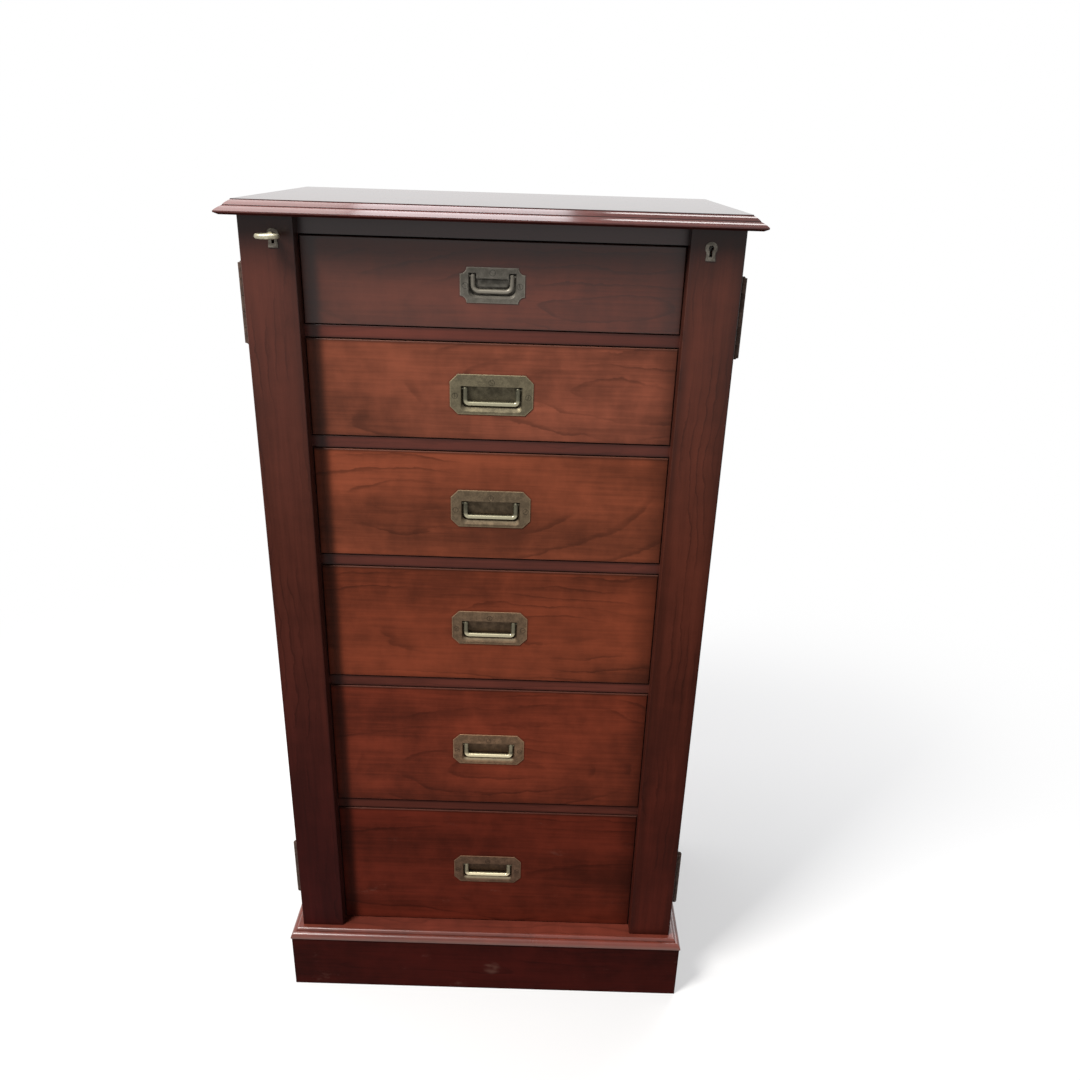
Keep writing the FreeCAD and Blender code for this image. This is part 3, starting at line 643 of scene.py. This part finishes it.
@dataclass(frozen=True)
class Metal:
    """A metal with its tarnish; levels are shares of a tint's brightness, and depths are metres."""

    bright: Tint
    tarnish: Tint
    roughness: float
    metallic: float = 0.9
    tarnish_share: float = 0.9
    grain_scale: float = 130.0
    patch_detail: float = 4.0
    patch_roughness: float = 0.6
    fleck_scale: float = 7.0
    fleck_share: float = 0.3
    dull_levels: tuple[float, float] = (0.3, 0.62)
    dull_roughness: float = 0.3
    leg_tarnish_and_shade_share: float = 0.75
    dirt_level: float = 0.45
    dirt_share: float = 0.8
    rim_level: float = 1.35
    rim_share: float = 0.6
    hollow_level: float = 0.55
    hollow_depths: tuple[float, float] = (0.0003, 0.004)
    lip_tint: Tint = Tint(176, 164, 136)
    lip_depths: tuple[float, float] = (0.0004, 0.0026)
    lip_edge: float = 0.0004
    relief: float = 0.1
    relief_depth: float = 0.0003

    def toned(self, bright: Tint, tarnish_level: float = 0.76) -> "Metal":
        """The same metal in another tone; its tarnish is the tone at a lower level."""
        return replace(self, bright=bright, tarnish=bright.dimmed(tarnish_level))

    def dress(
        self, name: str, grip_wear_and_shade: tuple[float, float] | None = None, outline: PlateOutline | None = None,
        dirt: tuple[RingMark, ...] = (), hollow: float = 0.0, lip: float = 0.0, lip_level: float = 0.0,
    ) -> bpy.types.Material:
        """Makes the metal of one node.

        Args:
            name: What the material is for.
            grip_wear_and_shade: Heights between which it goes from bright at the grip, from handling, to
                tarnished with painted shade on the legs.
            outline: The edge of a plate, along which a highlight is painted.
            dirt: Rings of dirt on a plate.
            hollow: How dark a plate's pocket has gone.
            lip: How bright the sloping lip under the pocket is, from handling, with a painted highlight.
            lip_level: The height of the lip's inner edge.

        Returns:
            The material.
        """
        material, bench = new_material(f"{name}_metal")
        places = bench.place()
        x, y, z = (place * self.grain_scale for place in places)
        patch = bench.noise(x, y, z, self.patch_detail, self.patch_roughness)
        fleck = bench.noise(*(place * self.fleck_scale for place in (x, y, z)))
        mixed = patch * (1 - self.fleck_share) + fleck * self.fleck_share
        dull = mixed.rise(*self.dull_levels) * self.tarnish_share
        # Bright at the grip from handling; tarnished above, with painted shade on the legs.
        if grip_wear_and_shade is not None:
            dull = dull.most(self.leg_tarnish_and_shade_share) * places[2].rise(*grip_wear_and_shade)
        colour = bench.blend(self.bright.at(1.0), self.tarnish.at(1.0), dull)
        for ring in dirt:
            soiled = ring.strength(places) * self.dirt_share
            colour = bench.blend(colour, self.tarnish.at(self.dirt_level), soiled)
        if outline is not None:
            # Painted highlight along the plate's edge.
            rim = outline.distance(places).rise(-outline.rim_width, 0.0)
            colour = bench.blend(colour, self.bright.at(self.rim_level), rim * self.rim_share)
            behind_face = places[1] - outline.low.y
            inside = behind_face.rise(*self.hollow_depths)
            colour = bench.blend(colour, self.tarnish.at(self.hollow_level), inside * hollow)
            # A lighter lip under the pocket: bright from handling, with a painted highlight.
            below = places[2].rise(lip_level + self.lip_edge, lip_level - self.lip_edge)
            sloping = behind_face.rise(*self.lip_depths)
            colour = bench.blend(colour, self.lip_tint.at(1.0), below * sloping * lip)
        bench.surface({
            "Base Color": colour,
            "Roughness": dull * self.dull_roughness + self.roughness,
            "Metallic": self.metallic,
            "Normal": bench.relief(patch, self.relief, self.relief_depth),
        })
        return material


# The far tints darken the case and the stiles towards the floor: painted shade.
CASE_MAHOGANY = Timber(
    Tint(78, 39, 32), contrast=0.24, ring_strength=0.45, specular=0.03, coat=0.42, coat_roughness=0.3,
    coat_levels=(0.7, 1.2), arris_wear_and_highlight=0.12, mottling=0.35, far_tint=Tint(62, 24, 21),
)
# The left stile's darker tint is painted shade.
LEFT_STILE_MAHOGANY = replace(
    CASE_MAHOGANY, tint=Tint(73, 38, 30), far_tint=Tint(63, 22, 20), arris_wear_and_highlight=0.04,
)
# The right stile's stronger edge darkening is painted shade along its inner edge, with dirt at its edges.
RIGHT_STILE_MAHOGANY = replace(
    CASE_MAHOGANY, tint=Tint(80, 41, 31), far_tint=Tint(80, 32, 24), arris_wear_and_highlight=0.0,
    edge_dirt_and_shade=0.42, edge_dirt_and_shade_width=0.015,
)
# The top rail's dark tint and darker edges are painted shade under the top's overhang.
TOP_RAIL_MAHOGANY = Timber(
    Tint(46, 23, 20), contrast=0.14, mottling=0.2, ring_strength=0.3, specular=0.1, coat=0.75,
    coat_roughness=0.3, edge_dirt_and_shade=0.6, edge_dirt_and_shade_width=0.003,
)
RAIL_MAHOGANY = Timber(
    Tint(94, 48, 39), contrast=0.2, ring_strength=0.3, specular=0.03, coat=0.4, coat_roughness=0.3,
    coat_levels=(0.3, 1.2), mottling=0.25, edge_dirt_and_shade=0.0, end_shades=(0.7, 0.3),
)
POLISHED_TOP = Timber(
    Tint(74, 37, 33), ring_strength=0.5, roughness=0.4, specular=0.0, coat=0.9, coat_roughness=0.1,
    coat_levels=(1.1858, 1.1866), edge_dirt_and_shade=0.0,
)
CAP_MAHOGANY = Timber(
    Tint(100, 46, 35), ring_strength=0.3, roughness=0.3, specular=0.35, coat=0.4, coat_roughness=0.2,
    arris_wear_and_highlight=0.2, scuffs=0.12, edge_dirt_and_shade=0.0,
)
PLINTH_MAHOGANY = Timber(
    Tint(60, 20, 16), contrast=0.28, ring_strength=0.4, roughness=0.45, specular=0.02, scuffs=0.32,
)
LINING_WOOD = Timber(
    Tint(158, 116, 78), contrast=0.14, ring_strength=0.28, roughness=0.66, specular=0.3, edge_dirt_and_shade=0.3,
)
PLATE_BRASS = Metal(Tint(116, 107, 86), Tint(88, 81, 65), roughness=0.4)
GREY_BRASS = Metal(Tint(104, 99, 90), Tint(82, 78, 70), roughness=0.45, metallic=0.5)
DULL_BRASS = Metal(Tint(116, 110, 101), Tint(80, 75, 68), roughness=0.45)
RUBBED_BRASS = Metal(Tint(150, 146, 122), Tint(56, 50, 40), roughness=0.3, metallic=0.95)
KEY_BRASS = Metal(Tint(196, 190, 166), Tint(140, 134, 114), roughness=0.3, metallic=0.9)
DARK_BRASS = Metal(Tint(84, 62, 50), Tint(54, 38, 31), roughness=0.6, metallic=0.35)
STEEL = Metal(Tint(150, 146, 140), Tint(92, 86, 80), roughness=0.4, metallic=0.95, tarnish_share=0.8)


def put_on(node: str, material: bpy.types.Material) -> None:
    """Gives a CAD node its material in all its slots, and reports it.

    Args:
        node: The CAD node.
        material: What it is made of.
    """
    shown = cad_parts[node]
    if not shown.material_slots:
        shown.data.materials.append(material)
    for slot in shown.material_slots:
        slot.material = material
    log.info("dressed %s with %s", node, material.name)


@dataclass
class ScrewHead:
    """A slotted countersunk head that stands a hair proud of the metal that it holds."""

    radius: float = 0.0027
    proud: float = 0.00016
    sunk: float = 0.0004
    slot_half_width: float = 0.0004
    dome_share: float = 0.4
    slot_floor_share: float = 0.1
    rings: int = 9
    segments: int = 28

    def points(self, centre: Vector, way: int, turn: float) -> tuple[np.ndarray, np.ndarray]:
        """Works out one head as rings round its axis, which lies along Y.

        The height over the metal is proud * (1 - dome_share * share^2), with share the distance from
        the axis over the radius, and falls to slot_floor_share of that inside the slot, where the
        distance from the slot's line is under its half width. The last ring goes straight down.

        Args:
            centre: The head's middle, on the face of the metal.
            way: -1 where the head faces the front, 1 where it faces the back.
            turn: The direction of the slot, in radians.

        Returns:
            The vertices and the faces, all of them triangles.
        """
        shares = np.concatenate((np.linspace(1 / self.rings, 1.0, self.rings), [1.0]))
        angles = np.linspace(0.0, 2 * math.pi, self.segments, endpoint=False)
        share, angle = np.meshgrid(shares, angles, indexing="ij")
        x = share * self.radius * np.cos(angle)
        z = share * self.radius * np.sin(angle)
        from_slot = np.abs(-x * math.sin(turn) + z * math.cos(turn))
        height = self.proud * (1 - self.dome_share * share**2)
        height = np.where(from_slot < self.slot_half_width, height * self.slot_floor_share, height)
        height[-1] = -self.sunk
        shell = np.stack((x, way * height, z), axis=-1).reshape(-1, 3)
        slot_floor = self.proud * self.slot_floor_share
        middle = np.array([[0.0, way * slot_floor, 0.0], [0.0, -way * self.sunk, 0.0]])
        vertices = np.concatenate((shell, middle)) + np.array(centre)

        grid = np.arange(len(shares) * self.segments).reshape(len(shares), self.segments)
        after = np.roll(grid, -1, axis=1)
        upper = np.stack((grid[:-1], grid[1:], after[1:]), axis=-1).reshape(-1, 3)
        lower = np.stack((grid[:-1], after[1:], after[:-1]), axis=-1).reshape(-1, 3)
        top = np.full(self.segments, len(shell))
        fan = np.stack((top, grid[0], after[0]), axis=-1)
        floor = np.stack((top + 1, after[-1], grid[-1]), axis=-1)
        faces = np.concatenate((upper, lower, fan, floor))
        return vertices, faces if way < 0 else faces[:, ::-1]


@dataclass
class ScrewSet:
    """Screws that face the same way and move with the same body."""

    name: str
    body: str
    finish: Metal
    slot: str
    centres: list[Vector]
    way: int
    head: ScrewHead = field(default_factory=ScrewHead)
    first_turn: float = 0.7
    turn_step: float = 2.1

    def build(self) -> None:
        """Makes the heads as one piece, each with its slot turned its own way."""
        heads = [
            self.head.points(centre, self.way, self.first_turn + self.turn_step * index)
            for index, centre in enumerate(self.centres)
        ]
        per_head = len(heads[0][0])
        vertices = np.concatenate([points for points, _ in heads])
        faces = np.concatenate([polygons + per_head * index for index, (_, polygons) in enumerate(heads)])
        mesh = bpy.data.meshes.new(self.name)
        mesh.from_pydata(vertices.tolist(), [], faces.tolist())
        mesh.update()
        piece = bpy.data.objects.new(self.name, mesh)
        bpy.context.scene.collection.objects.link(piece)
        mesh.materials.append(self.finish.dress(self.name))
        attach(piece, self.body)
        log.info("made %s: %d screw heads on %s", self.name, len(heads), self.body)


@dataclass
class Hinges:
    """Where the screws of the hinge leaves go, three to a leaf."""

    length: float = 0.095
    from_inner_edge: float = 0.007
    leaf_gap: float = 0.0004
    spread_shares: tuple[float, ...] = (-0.36, 0.0, 0.36)

    def screw_centres(self, leaves: str, side: int, way: int) -> list[Vector]:
        """Lists the middles of the screws in one side's leaves.

        The leaves meet at the middle of their knuckles, and each face is half the gap from there.

        Args:
            leaves: The CAD node that holds the leaves.
            side: -1 for the left of the chest, 1 for the right.
            way: -1 where the leaves face the front, 1 where they face the back.

        Returns:
            The places on the faces of the leaves.
        """
        low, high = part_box(leaves)
        inner_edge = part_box("right_stile_hinge_leaves")[0].x
        x = side * (inner_edge + self.from_inner_edge)
        y = (low.y + high.y) / 2 - way * self.leaf_gap / 2
        levels = (low.z + self.length / 2, high.z - self.length / 2)
        heights = [level + share * self.length for level in levels for share in self.spread_shares]
        return [Vector((x, y, z)) for z in heights]


@dataclass
class Carcass:
    """The fixed case: top, sides, back, posts, rails and the boards between the drawers."""

    seed: float = 3.0
    joint_width: float = 0.006
    upper_quirk: float = 0.0007
    lower_quirk: float = 0.0066
    inner_boards: tuple[str, ...] = ("dust_boards", "base_board", "back_panel")
    hinges: Hinges = field(default_factory=Hinges)

    def dress(self) -> None:
        """Gives every board its wood and the fixed hinge leaves their brass."""
        top = Sawing(heart_along_share=0.7, heart_across_share=0.4, lean=0.1, ring_pitch=0.022)
        top_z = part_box("top_board")[1].z
        quirks = (
            Seam(top_z, width=0.0004, darkness=0.7),
            Seam(top_z - self.upper_quirk, width=0.0006),
            Seam(top_z - self.lower_quirk, width=0.0008),
        )
        put_on("top_board", POLISHED_TOP.dress("top_board", Grain.ACROSS_TOP, top, seams=quirks))
        for count, (side, heart) in enumerate((("left_side", 0.35), ("right_side", 0.65)), start=1):
            seed = self.seed * count
            sawing = Sawing(heart, heart_across_share=0.45, lean=0.05, ring_pitch=0.02, seed=seed)
            put_on(side, CASE_MAHOGANY.dress(side, Grain.UP_SIDE, sawing))
        for count, post in enumerate(("left_post", "right_post"), start=3):
            sawing = Sawing(heart_across_share=2.0, seed=self.seed * count)
            put_on(post, CASE_MAHOGANY.dress(post, Grain.UP_FRONT, sawing))
        rails = (("top_rail", TOP_RAIL_MAHOGANY, ()), ("drawer_rails", RAIL_MAHOGANY, self.joints()))
        for count, (rail, wood, seams) in enumerate(rails, start=5):
            sawing = Sawing(heart_across_share=3.0, lean=0.03, seed=self.seed * count)
            put_on(rail, wood.dress(rail, Grain.ACROSS_FRONT, sawing, seams=seams))
        for count, board in enumerate(self.inner_boards, start=8):
            grain = Grain.UP_FRONT if board == "back_panel" else Grain.ACROSS_TOP
            sawing = Sawing(heart_along_share=0.6, lean=0.06, ring_pitch=0.02, seed=self.seed * count)
            put_on(board, LINING_WOOD.dress(board, grain, sawing))
        put_on("drawer_guides", LINING_WOOD.dress("drawer_guides", Grain.TO_BACK, Sawing()))
        for node in ("carcass_hinge_leaves", "hinge_pins"):
            put_on(node, DARK_BRASS.dress(node))

    def joints(self) -> tuple[Seam, ...]:
        """Finds the joints between the rails and the drawer fronts above and below them.

        Returns:
            A band of painted shade along each joint.
        """
        fronts = [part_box(f"drawer_{number}_front") for number in range(1, DRAWER_COUNT + 1)]
        levels = [low.z for low, _ in fronts[:-1]] + [high.z for _, high in fronts[1:]]
        return tuple(Seam(z, self.joint_width) for z in levels)

    def build(self) -> None:
        """Adds the screws of the fixed hinge leaves."""
        leaves = "carcass_hinge_leaves"
        centres = [centre for side in (-1, 1) for centre in self.hinges.screw_centres(leaves, side, -1)]
        ScrewSet("carcass_hinge_screws", "carcass", DARK_BRASS, "aged_brass", centres, -1).build()


@dataclass
class Plinth:
    """The base: three boards under a moulded cap, a plain back and its glue blocks."""

    stain: RingMark = RingMark(x=0.01, z=0.045, radius=0.007, width=0.01)

    def dress(self) -> None:
        """Gives the plinth its dark, scuffed polish and its inside bare timber."""
        sawing = Sawing(heart_along_share=0.4, lean=0.12, seed=11.0)
        front = PLINTH_MAHOGANY.dress("plinth_front", Grain.ACROSS_FRONT, sawing, marks=(self.stain,))
        put_on("plinth_front", front)
        put_on("plinth_sides", PLINTH_MAHOGANY.dress("plinth_sides", Grain.TO_BACK, Sawing(seed=12.0)))
        put_on("plinth_cap", CAP_MAHOGANY.dress("plinth_cap", Grain.ACROSS_TOP, Sawing(lean=0.03, seed=13.0)))
        put_on("plinth_back", LINING_WOOD.dress("plinth_back", Grain.ACROSS_FRONT, Sawing(seed=14.0)))
        put_on("corner_blocks", LINING_WOOD.dress("corner_blocks", Grain.UP_FRONT, Sawing(seed=15.0)))


@dataclass
class Stile:
    """A hinged stile with its lock."""

    side: str
    way_out: int
    seed: float
    wood: Timber
    lock_screw_margin: float = 0.005
    hinges: Hinges = field(default_factory=Hinges)

    def dress(self) -> None:
        """Gives the stile its wood, its hinge leaves and escutcheon brass and its lock steel."""
        node = f"{self.side}_stile"
        sawing = Sawing(heart_across_share=1.7, lean=0.012, ring_pitch=0.014, seed=self.seed)
        # Painted shadow of the top's overhang on the stile's upper end.
        shade = Seam(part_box(node)[1].z, width=0.08, darkness=0.75)
        put_on(node, self.wood.dress(node, Grain.UP_FRONT, sawing, seams=(shade,)))
        put_on(f"{node}_hinge_leaves", DARK_BRASS.dress(f"{node}_hinge_leaves"))
        put_on(f"{self.side}_escutcheon", DULL_BRASS.dress(f"{self.side}_escutcheon"))
        for piece in ("lock_case", "bolt"):
            put_on(f"{self.side}_{piece}", STEEL.dress(f"{self.side}_{piece}"))

    def build(self) -> None:
        """Adds the screws of the stile's hinge leaves and of its lock."""
        body = f"{self.side}_stile"
        centres = self.hinges.screw_centres(f"{body}_hinge_leaves", self.way_out, 1)
        ScrewSet(f"{body}_hinge_screws", body, DARK_BRASS, "aged_brass", centres, 1).build()
        low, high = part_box(f"{self.side}_lock_case")
        margin = self.lock_screw_margin
        corners = [
            Vector((x, high.y, z))
            for x in (low.x + margin, high.x - margin) for z in (low.z + margin, high.z - margin)
        ]
        ScrewSet(f"{self.side}_lock_screws", body, STEEL, "lock_steel", corners, 1).build()


@dataclass(frozen=True)
class HandleLook:
    """The finishes of one handle, and how its plate's corners are cut."""

    plate: Metal
    bail: Metal
    corner: float
    cut: Corner
    hollow: float = 0.0
    lip: float = 0.0
    screw_radius: float = 0.0031


SMALL_HANDLE = HandleLook(
    GREY_BRASS, GREY_BRASS.toned(Tint(130, 124, 112), tarnish_level=0.84), corner=0.008, cut=Corner.HOLLOW,
)
LARGE_HANDLE = HandleLook(PLATE_BRASS, RUBBED_BRASS, corner=0.010, cut=Corner.STRAIGHT, hollow=0.5)


@dataclass
class Drawer:
    """One drawer: its figured front, its linings and its recessed handle."""

    number: int
    tint: Tint
    right_tint: Tint
    gloss: float
    sawing: Sawing
    look: HandleLook
    bail_foot_room: float = 0.0014
    grip_wear_and_shade_shares: tuple[float, float] = (1 / 5, 1 / 2.6)
    screw_dirt_gap: float = 0.0003
    screw_dirt_width: float = 0.0008
    lining_seed: float = 20.0

    def wood(self) -> Timber:
        """Makes up the front's wood; the lowest drawer is scuffed.

        Returns:
            The wood.
        """
        low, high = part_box(f"drawer_{self.number}_front")
        return Timber(
            self.tint, contrast=0.26, specular=self.gloss, arris_wear_and_highlight=0.12, end_shades=(0.68, 0.5),
            far_tint=self.right_tint, far_span=(low.x, high.x),
            scuffs=0.25 if self.number == DRAWER_COUNT else 0.0,
        )

    def seams(self) -> tuple[Seam, ...]:
        """Finds the painted shade along the front's top edge, under the rail above it, and on the highest
        drawer the broader painted shadow of the top's overhang.

        Returns:
            The bands of painted shade.
        """
        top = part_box(f"drawer_{self.number}_front")[1].z
        joint, shade = Seam(top, width=0.0045, darkness=0.7), Seam(top, width=0.055, darkness=0.6)
        return (joint, shade) if self.number == 1 else (joint,)

    def screw_dirt(self) -> tuple[RingMark, ...]:
        """Finds the dirt round the handle's three screws: one on the middle line and one at each side.

        Returns:
            A ring of dirt for each screw.
        """
        low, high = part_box(f"handle_{self.number}_screws")
        radius = self.look.screw_radius
        side_z = low.z + radius
        places = ((0.0, high.z - radius), (low.x + radius, side_z), (high.x - radius, side_z))
        return tuple(RingMark(x, z, radius + self.screw_dirt_gap, self.screw_dirt_width) for x, z in places)

    def dress(self) -> None:
        """Dresses the front, the box and the handle."""
        front = f"drawer_{self.number}_front"
        box = f"drawer_{self.number}_box"
        handle = f"handle_{self.number}"
        look = self.look
        outline = PlateOutline(*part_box(f"{handle}_plate"), look.corner, look.cut)
        wood = self.wood().dress(front, Grain.ACROSS_FRONT, self.sawing, outline, seams=self.seams())
        put_on(front, wood)
        put_on(box, LINING_WOOD.dress(box, Grain.TO_BACK, Sawing(seed=self.lining_seed + self.number)))
        low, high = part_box(f"{handle}_bail")
        plate = f"{handle}_plate"
        put_on(plate, look.plate.dress(
            plate, outline=outline, dirt=self.screw_dirt(), hollow=look.hollow,
            lip=look.lip, lip_level=low.z - self.bail_foot_room,
        ))
        # The bail's bright grip comes from handling; its darker legs are painted shade.
        grip_wear_and_shade = tuple(low.z + (high.z - low.z) * share for share in self.grip_wear_and_shade_shares)
        put_on(f"{handle}_bail", look.bail.dress(f"{handle}_bail", grip_wear_and_shade))
        put_on(f"{handle}_screws", look.plate.dress(f"{handle}_screws"))


@dataclass(frozen=True)
class Lamp:
    """A soft rectangular lamp: where it hangs, the point it faces, its width and height and its watts."""

    name: str
    place: tuple[float, float, float]
    aim: tuple[float, float, float]
    size: tuple[float, float]
    power: float
    colour: tuple[float, float, float]

    def hang(self) -> None:
        """Hangs the lamp at its place and turns it to its aim."""
        data = bpy.data.lights.new(self.name, "AREA")
        data.shape = "RECTANGLE"
        data.size, data.size_y = self.size
        data.energy = self.power
        data.color = self.colour
        lamp = bpy.data.objects.new(self.name, data)
        lamp.location = self.place
        lamp.rotation_euler = (Vector(self.aim) - Vector(self.place)).to_track_quat("-Z", "Y").to_euler()
        bpy.context.scene.collection.objects.link(lamp)


LAMPS = (
    Lamp("key", place=(-1.43, -1.355, 3.175), aim=(0.0, -0.14, 0.8), size=(0.8, 1.2),
         power=150.0, colour=(1.0, 0.98, 0.95)),
    Lamp("fill", place=(1.6, 2.6, 2.2), aim=(0.0, 0.0, 0.6), size=(1.6, 1.6),
         power=40.0, colour=(0.97, 0.98, 1.0)),
    Lamp("overhead", place=(-0.2, 0.28, 3.0), aim=(-0.2, 0.1, 1.2), size=(0.66, 1.1),
         power=22.0, colour=(0.94, 0.97, 1.0)),
    Lamp("overhead_left", place=(-0.9, 0.28, 3.0), aim=(-0.9, 0.1, 1.2), size=(0.7, 1.1),
         power=13.0, colour=(1.0, 0.97, 0.96)),
    Lamp("overhead_right", place=(0.55, 0.4, 3.0), aim=(0.55, 0.1, 1.2), size=(0.6, 0.3),
         power=8.0, colour=(1.0, 0.99, 0.97)),
)


@dataclass
class Studio:
    """Floor, lights and camera; angles are in degrees."""

    frame_side: int = 1080
    focal_pixels: float = 915.156
    sensor: float = 36.0
    clip_start: float = 0.05
    eye: tuple[float, float, float] = (0.0643, -1.2627, 1.2607)
    pitch: float = 23.092
    roll: float = 1.822
    yaw: float = 0.095
    floor_half: float = 14.0
    near: float = 0.5
    far: float = 1.8
    least_glow: float = 0.45
    white: Colour = (1.0, 1.0, 1.0, 1.0)
    floor_seen: Colour = (0.86, 0.86, 0.86, 1.0)
    floor_light: Colour = (0.2, 0.2, 0.2, 1.0)
    sky_light: Colour = (0.18, 0.18, 0.19, 1.0)

    def camera(self) -> None:
        """Stands the camera where the photograph was taken from."""
        data = bpy.data.cameras.new("camera")
        data.sensor_width = self.sensor
        data.lens = self.focal_pixels / self.frame_side * self.sensor
        data.clip_start = self.clip_start
        view = bpy.data.objects.new("camera", data)
        turn = Matrix.Rotation(math.radians(-self.yaw), 4, "Z")
        tilt = Matrix.Rotation(math.radians(90 - self.pitch), 4, "X")
        lean = Matrix.Rotation(math.radians(self.roll), 4, "Z")
        view.matrix_world = Matrix.Translation(self.eye) @ turn @ tilt @ lean
        bpy.context.scene.collection.objects.link(view)
        bpy.context.scene.camera = view

    def seen(self, bench: Bench) -> Field:
        """1 for rays that show a thing directly, in a polish or through glass, and 0 for its light."""
        path = bench.node("ShaderNodeLightPath", output="Is Camera Ray")
        return path.most(path.output("Is Glossy Ray")).most(path.output("Is Transmission Ray"))

    def floor(self) -> None:
        """Lays a pale floor that goes over into white away from the chest."""
        half = self.floor_half
        corners = [(-half, -half, 0.0), (half, -half, 0.0), (half, half, 0.0), (-half, half, 0.0)]
        mesh = bpy.data.meshes.new("floor")
        mesh.from_pydata(corners, [], [(0, 1, 2, 3)])
        ground = bpy.data.objects.new("floor", mesh)
        bpy.context.scene.collection.objects.link(ground)
        material, bench = new_material("pale_floor")
        x, y, _ = bench.place()
        away = (x * x + y * y).root().rise(self.near, self.far)
        glow = away * (1 - self.least_glow) + self.least_glow
        seen = self.seen(bench)
        pale = bench.blend(self.floor_light, self.floor_seen, seen)
        matt = bench.node("ShaderNodeBsdfDiffuse", inputs={"Color": pale})
        white = bench.node("ShaderNodeEmission", inputs={"Color": self.white, "Strength": 1.0})
        mixed = bench.node("ShaderNodeMixShader", inputs={0: glow * seen, 1: matt, 2: white})
        bench.node("ShaderNodeOutputMaterial", inputs={"Surface": mixed})
        mesh.materials.append(material)

    def light(self) -> None:
        """Hangs the lamps and sets a sky that looks white and lights the chest evenly."""
        for lamp in LAMPS:
            lamp.hang()
        world = bpy.data.worlds.new("studio")
        world.use_nodes = True
        bench = Bench(world.node_tree)
        colour = bench.blend(self.sky_light, self.white, self.seen(bench))
        sky = bench.node("ShaderNodeBackground", inputs={"Color": colour, "Strength": 1.0})
        bench.node("ShaderNodeOutputWorld", inputs={"Surface": sky})
        bpy.context.scene.world = world
        bpy.context.scene.view_settings.view_transform = "Standard"

    def build(self) -> None:
        """Sets up the whole studio."""
        self.camera()
        self.floor()
        self.light()


def drawers() -> list[Drawer]:
    """Makes up the drawers, each with the colour and the figure of its own veneer.

    Returns:
        The six drawers from the top down.
    """
    # Tint at the left end, tint at the right end, gloss, and the figure's place, lean and pitch.
    # The top drawer's dark tints are painted shade under the top, the upper drawers' lighter right ends are
    # painted light, and the darkening down the chest is partly painted shade.
    looks = (
        (Tint(77, 41, 31), Tint(88, 45, 34), 0.42, Sawing(0.78, 0.25, 0.22, seed=1.3)),
        (Tint(112, 61, 44), Tint(130, 72, 54), 0.13, Sawing(0.86, 0.5, 0.3, 0.022, seed=2.9)),
        (Tint(118, 61, 42), Tint(121, 63, 43), 0.08, Sawing(0.2, 0.5, 0.26, 0.021, seed=4.1)),
        (Tint(111, 53, 35), Tint(115, 56, 37), 0.06, Sawing(0.6, 0.42, 0.2, 0.02, seed=5.7)),
        (Tint(109, 48, 33), Tint(113, 51, 34), 0.04, Sawing(0.52, 0.3, 0.3, 0.022, seed=7.2)),
        (Tint(92, 37, 26), Tint(93, 38, 26), 0.02, Sawing(1.5, 0.4, 0.1, 0.022, seed=8.8)),
    )
    # Of each large handle: the plate's tone, redder lower down partly as painted reflection of the wood, the
    # bail's tone, and how bright the pocket's lip is, from handling with a painted highlight.
    brasses = (
        (Tint(114, 105, 84), Tint(160, 155, 130), 0.06),
        (Tint(110, 94, 74), Tint(166, 160, 134), 0.08),
        (Tint(110, 89, 69), Tint(176, 168, 140), 0.2),
        (Tint(118, 92, 70), Tint(208, 196, 162), 0.45),
        (Tint(98, 74, 57), Tint(216, 204, 170), 0.5),
    )
    handles = [SMALL_HANDLE]
    for plate_tone, bail_tone, lip in brasses:
        # The bails' dark tarnish is partly painted shade on their legs.
        bail = RUBBED_BRASS.toned(bail_tone, tarnish_level=0.3)
        handles.append(replace(LARGE_HANDLE, plate=PLATE_BRASS.toned(plate_tone), bail=bail, lip=lip))
    return [
        Drawer(number, *look, handle) for number, (look, handle) in enumerate(zip(looks, handles), start=1)
    ]


def main() -> None:
    """Dresses the chest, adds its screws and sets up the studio."""
    logging.basicConfig(level=logging.INFO, format="%(message)s")
    carcass = Carcass()
    carcass.dress()
    carcass.build()
    Plinth().dress()
    left = Stile("left", way_out=-1, seed=34.0, wood=LEFT_STILE_MAHOGANY)
    right = Stile("right", way_out=1, seed=37.0, wood=RIGHT_STILE_MAHOGANY)
    for stile in (left, right):
        stile.dress()
        stile.build()
    put_on("key", KEY_BRASS.dress("key"))
    for drawer in drawers():
        drawer.dress()
    Studio().build()


if __name__ == "__main__":
    main()
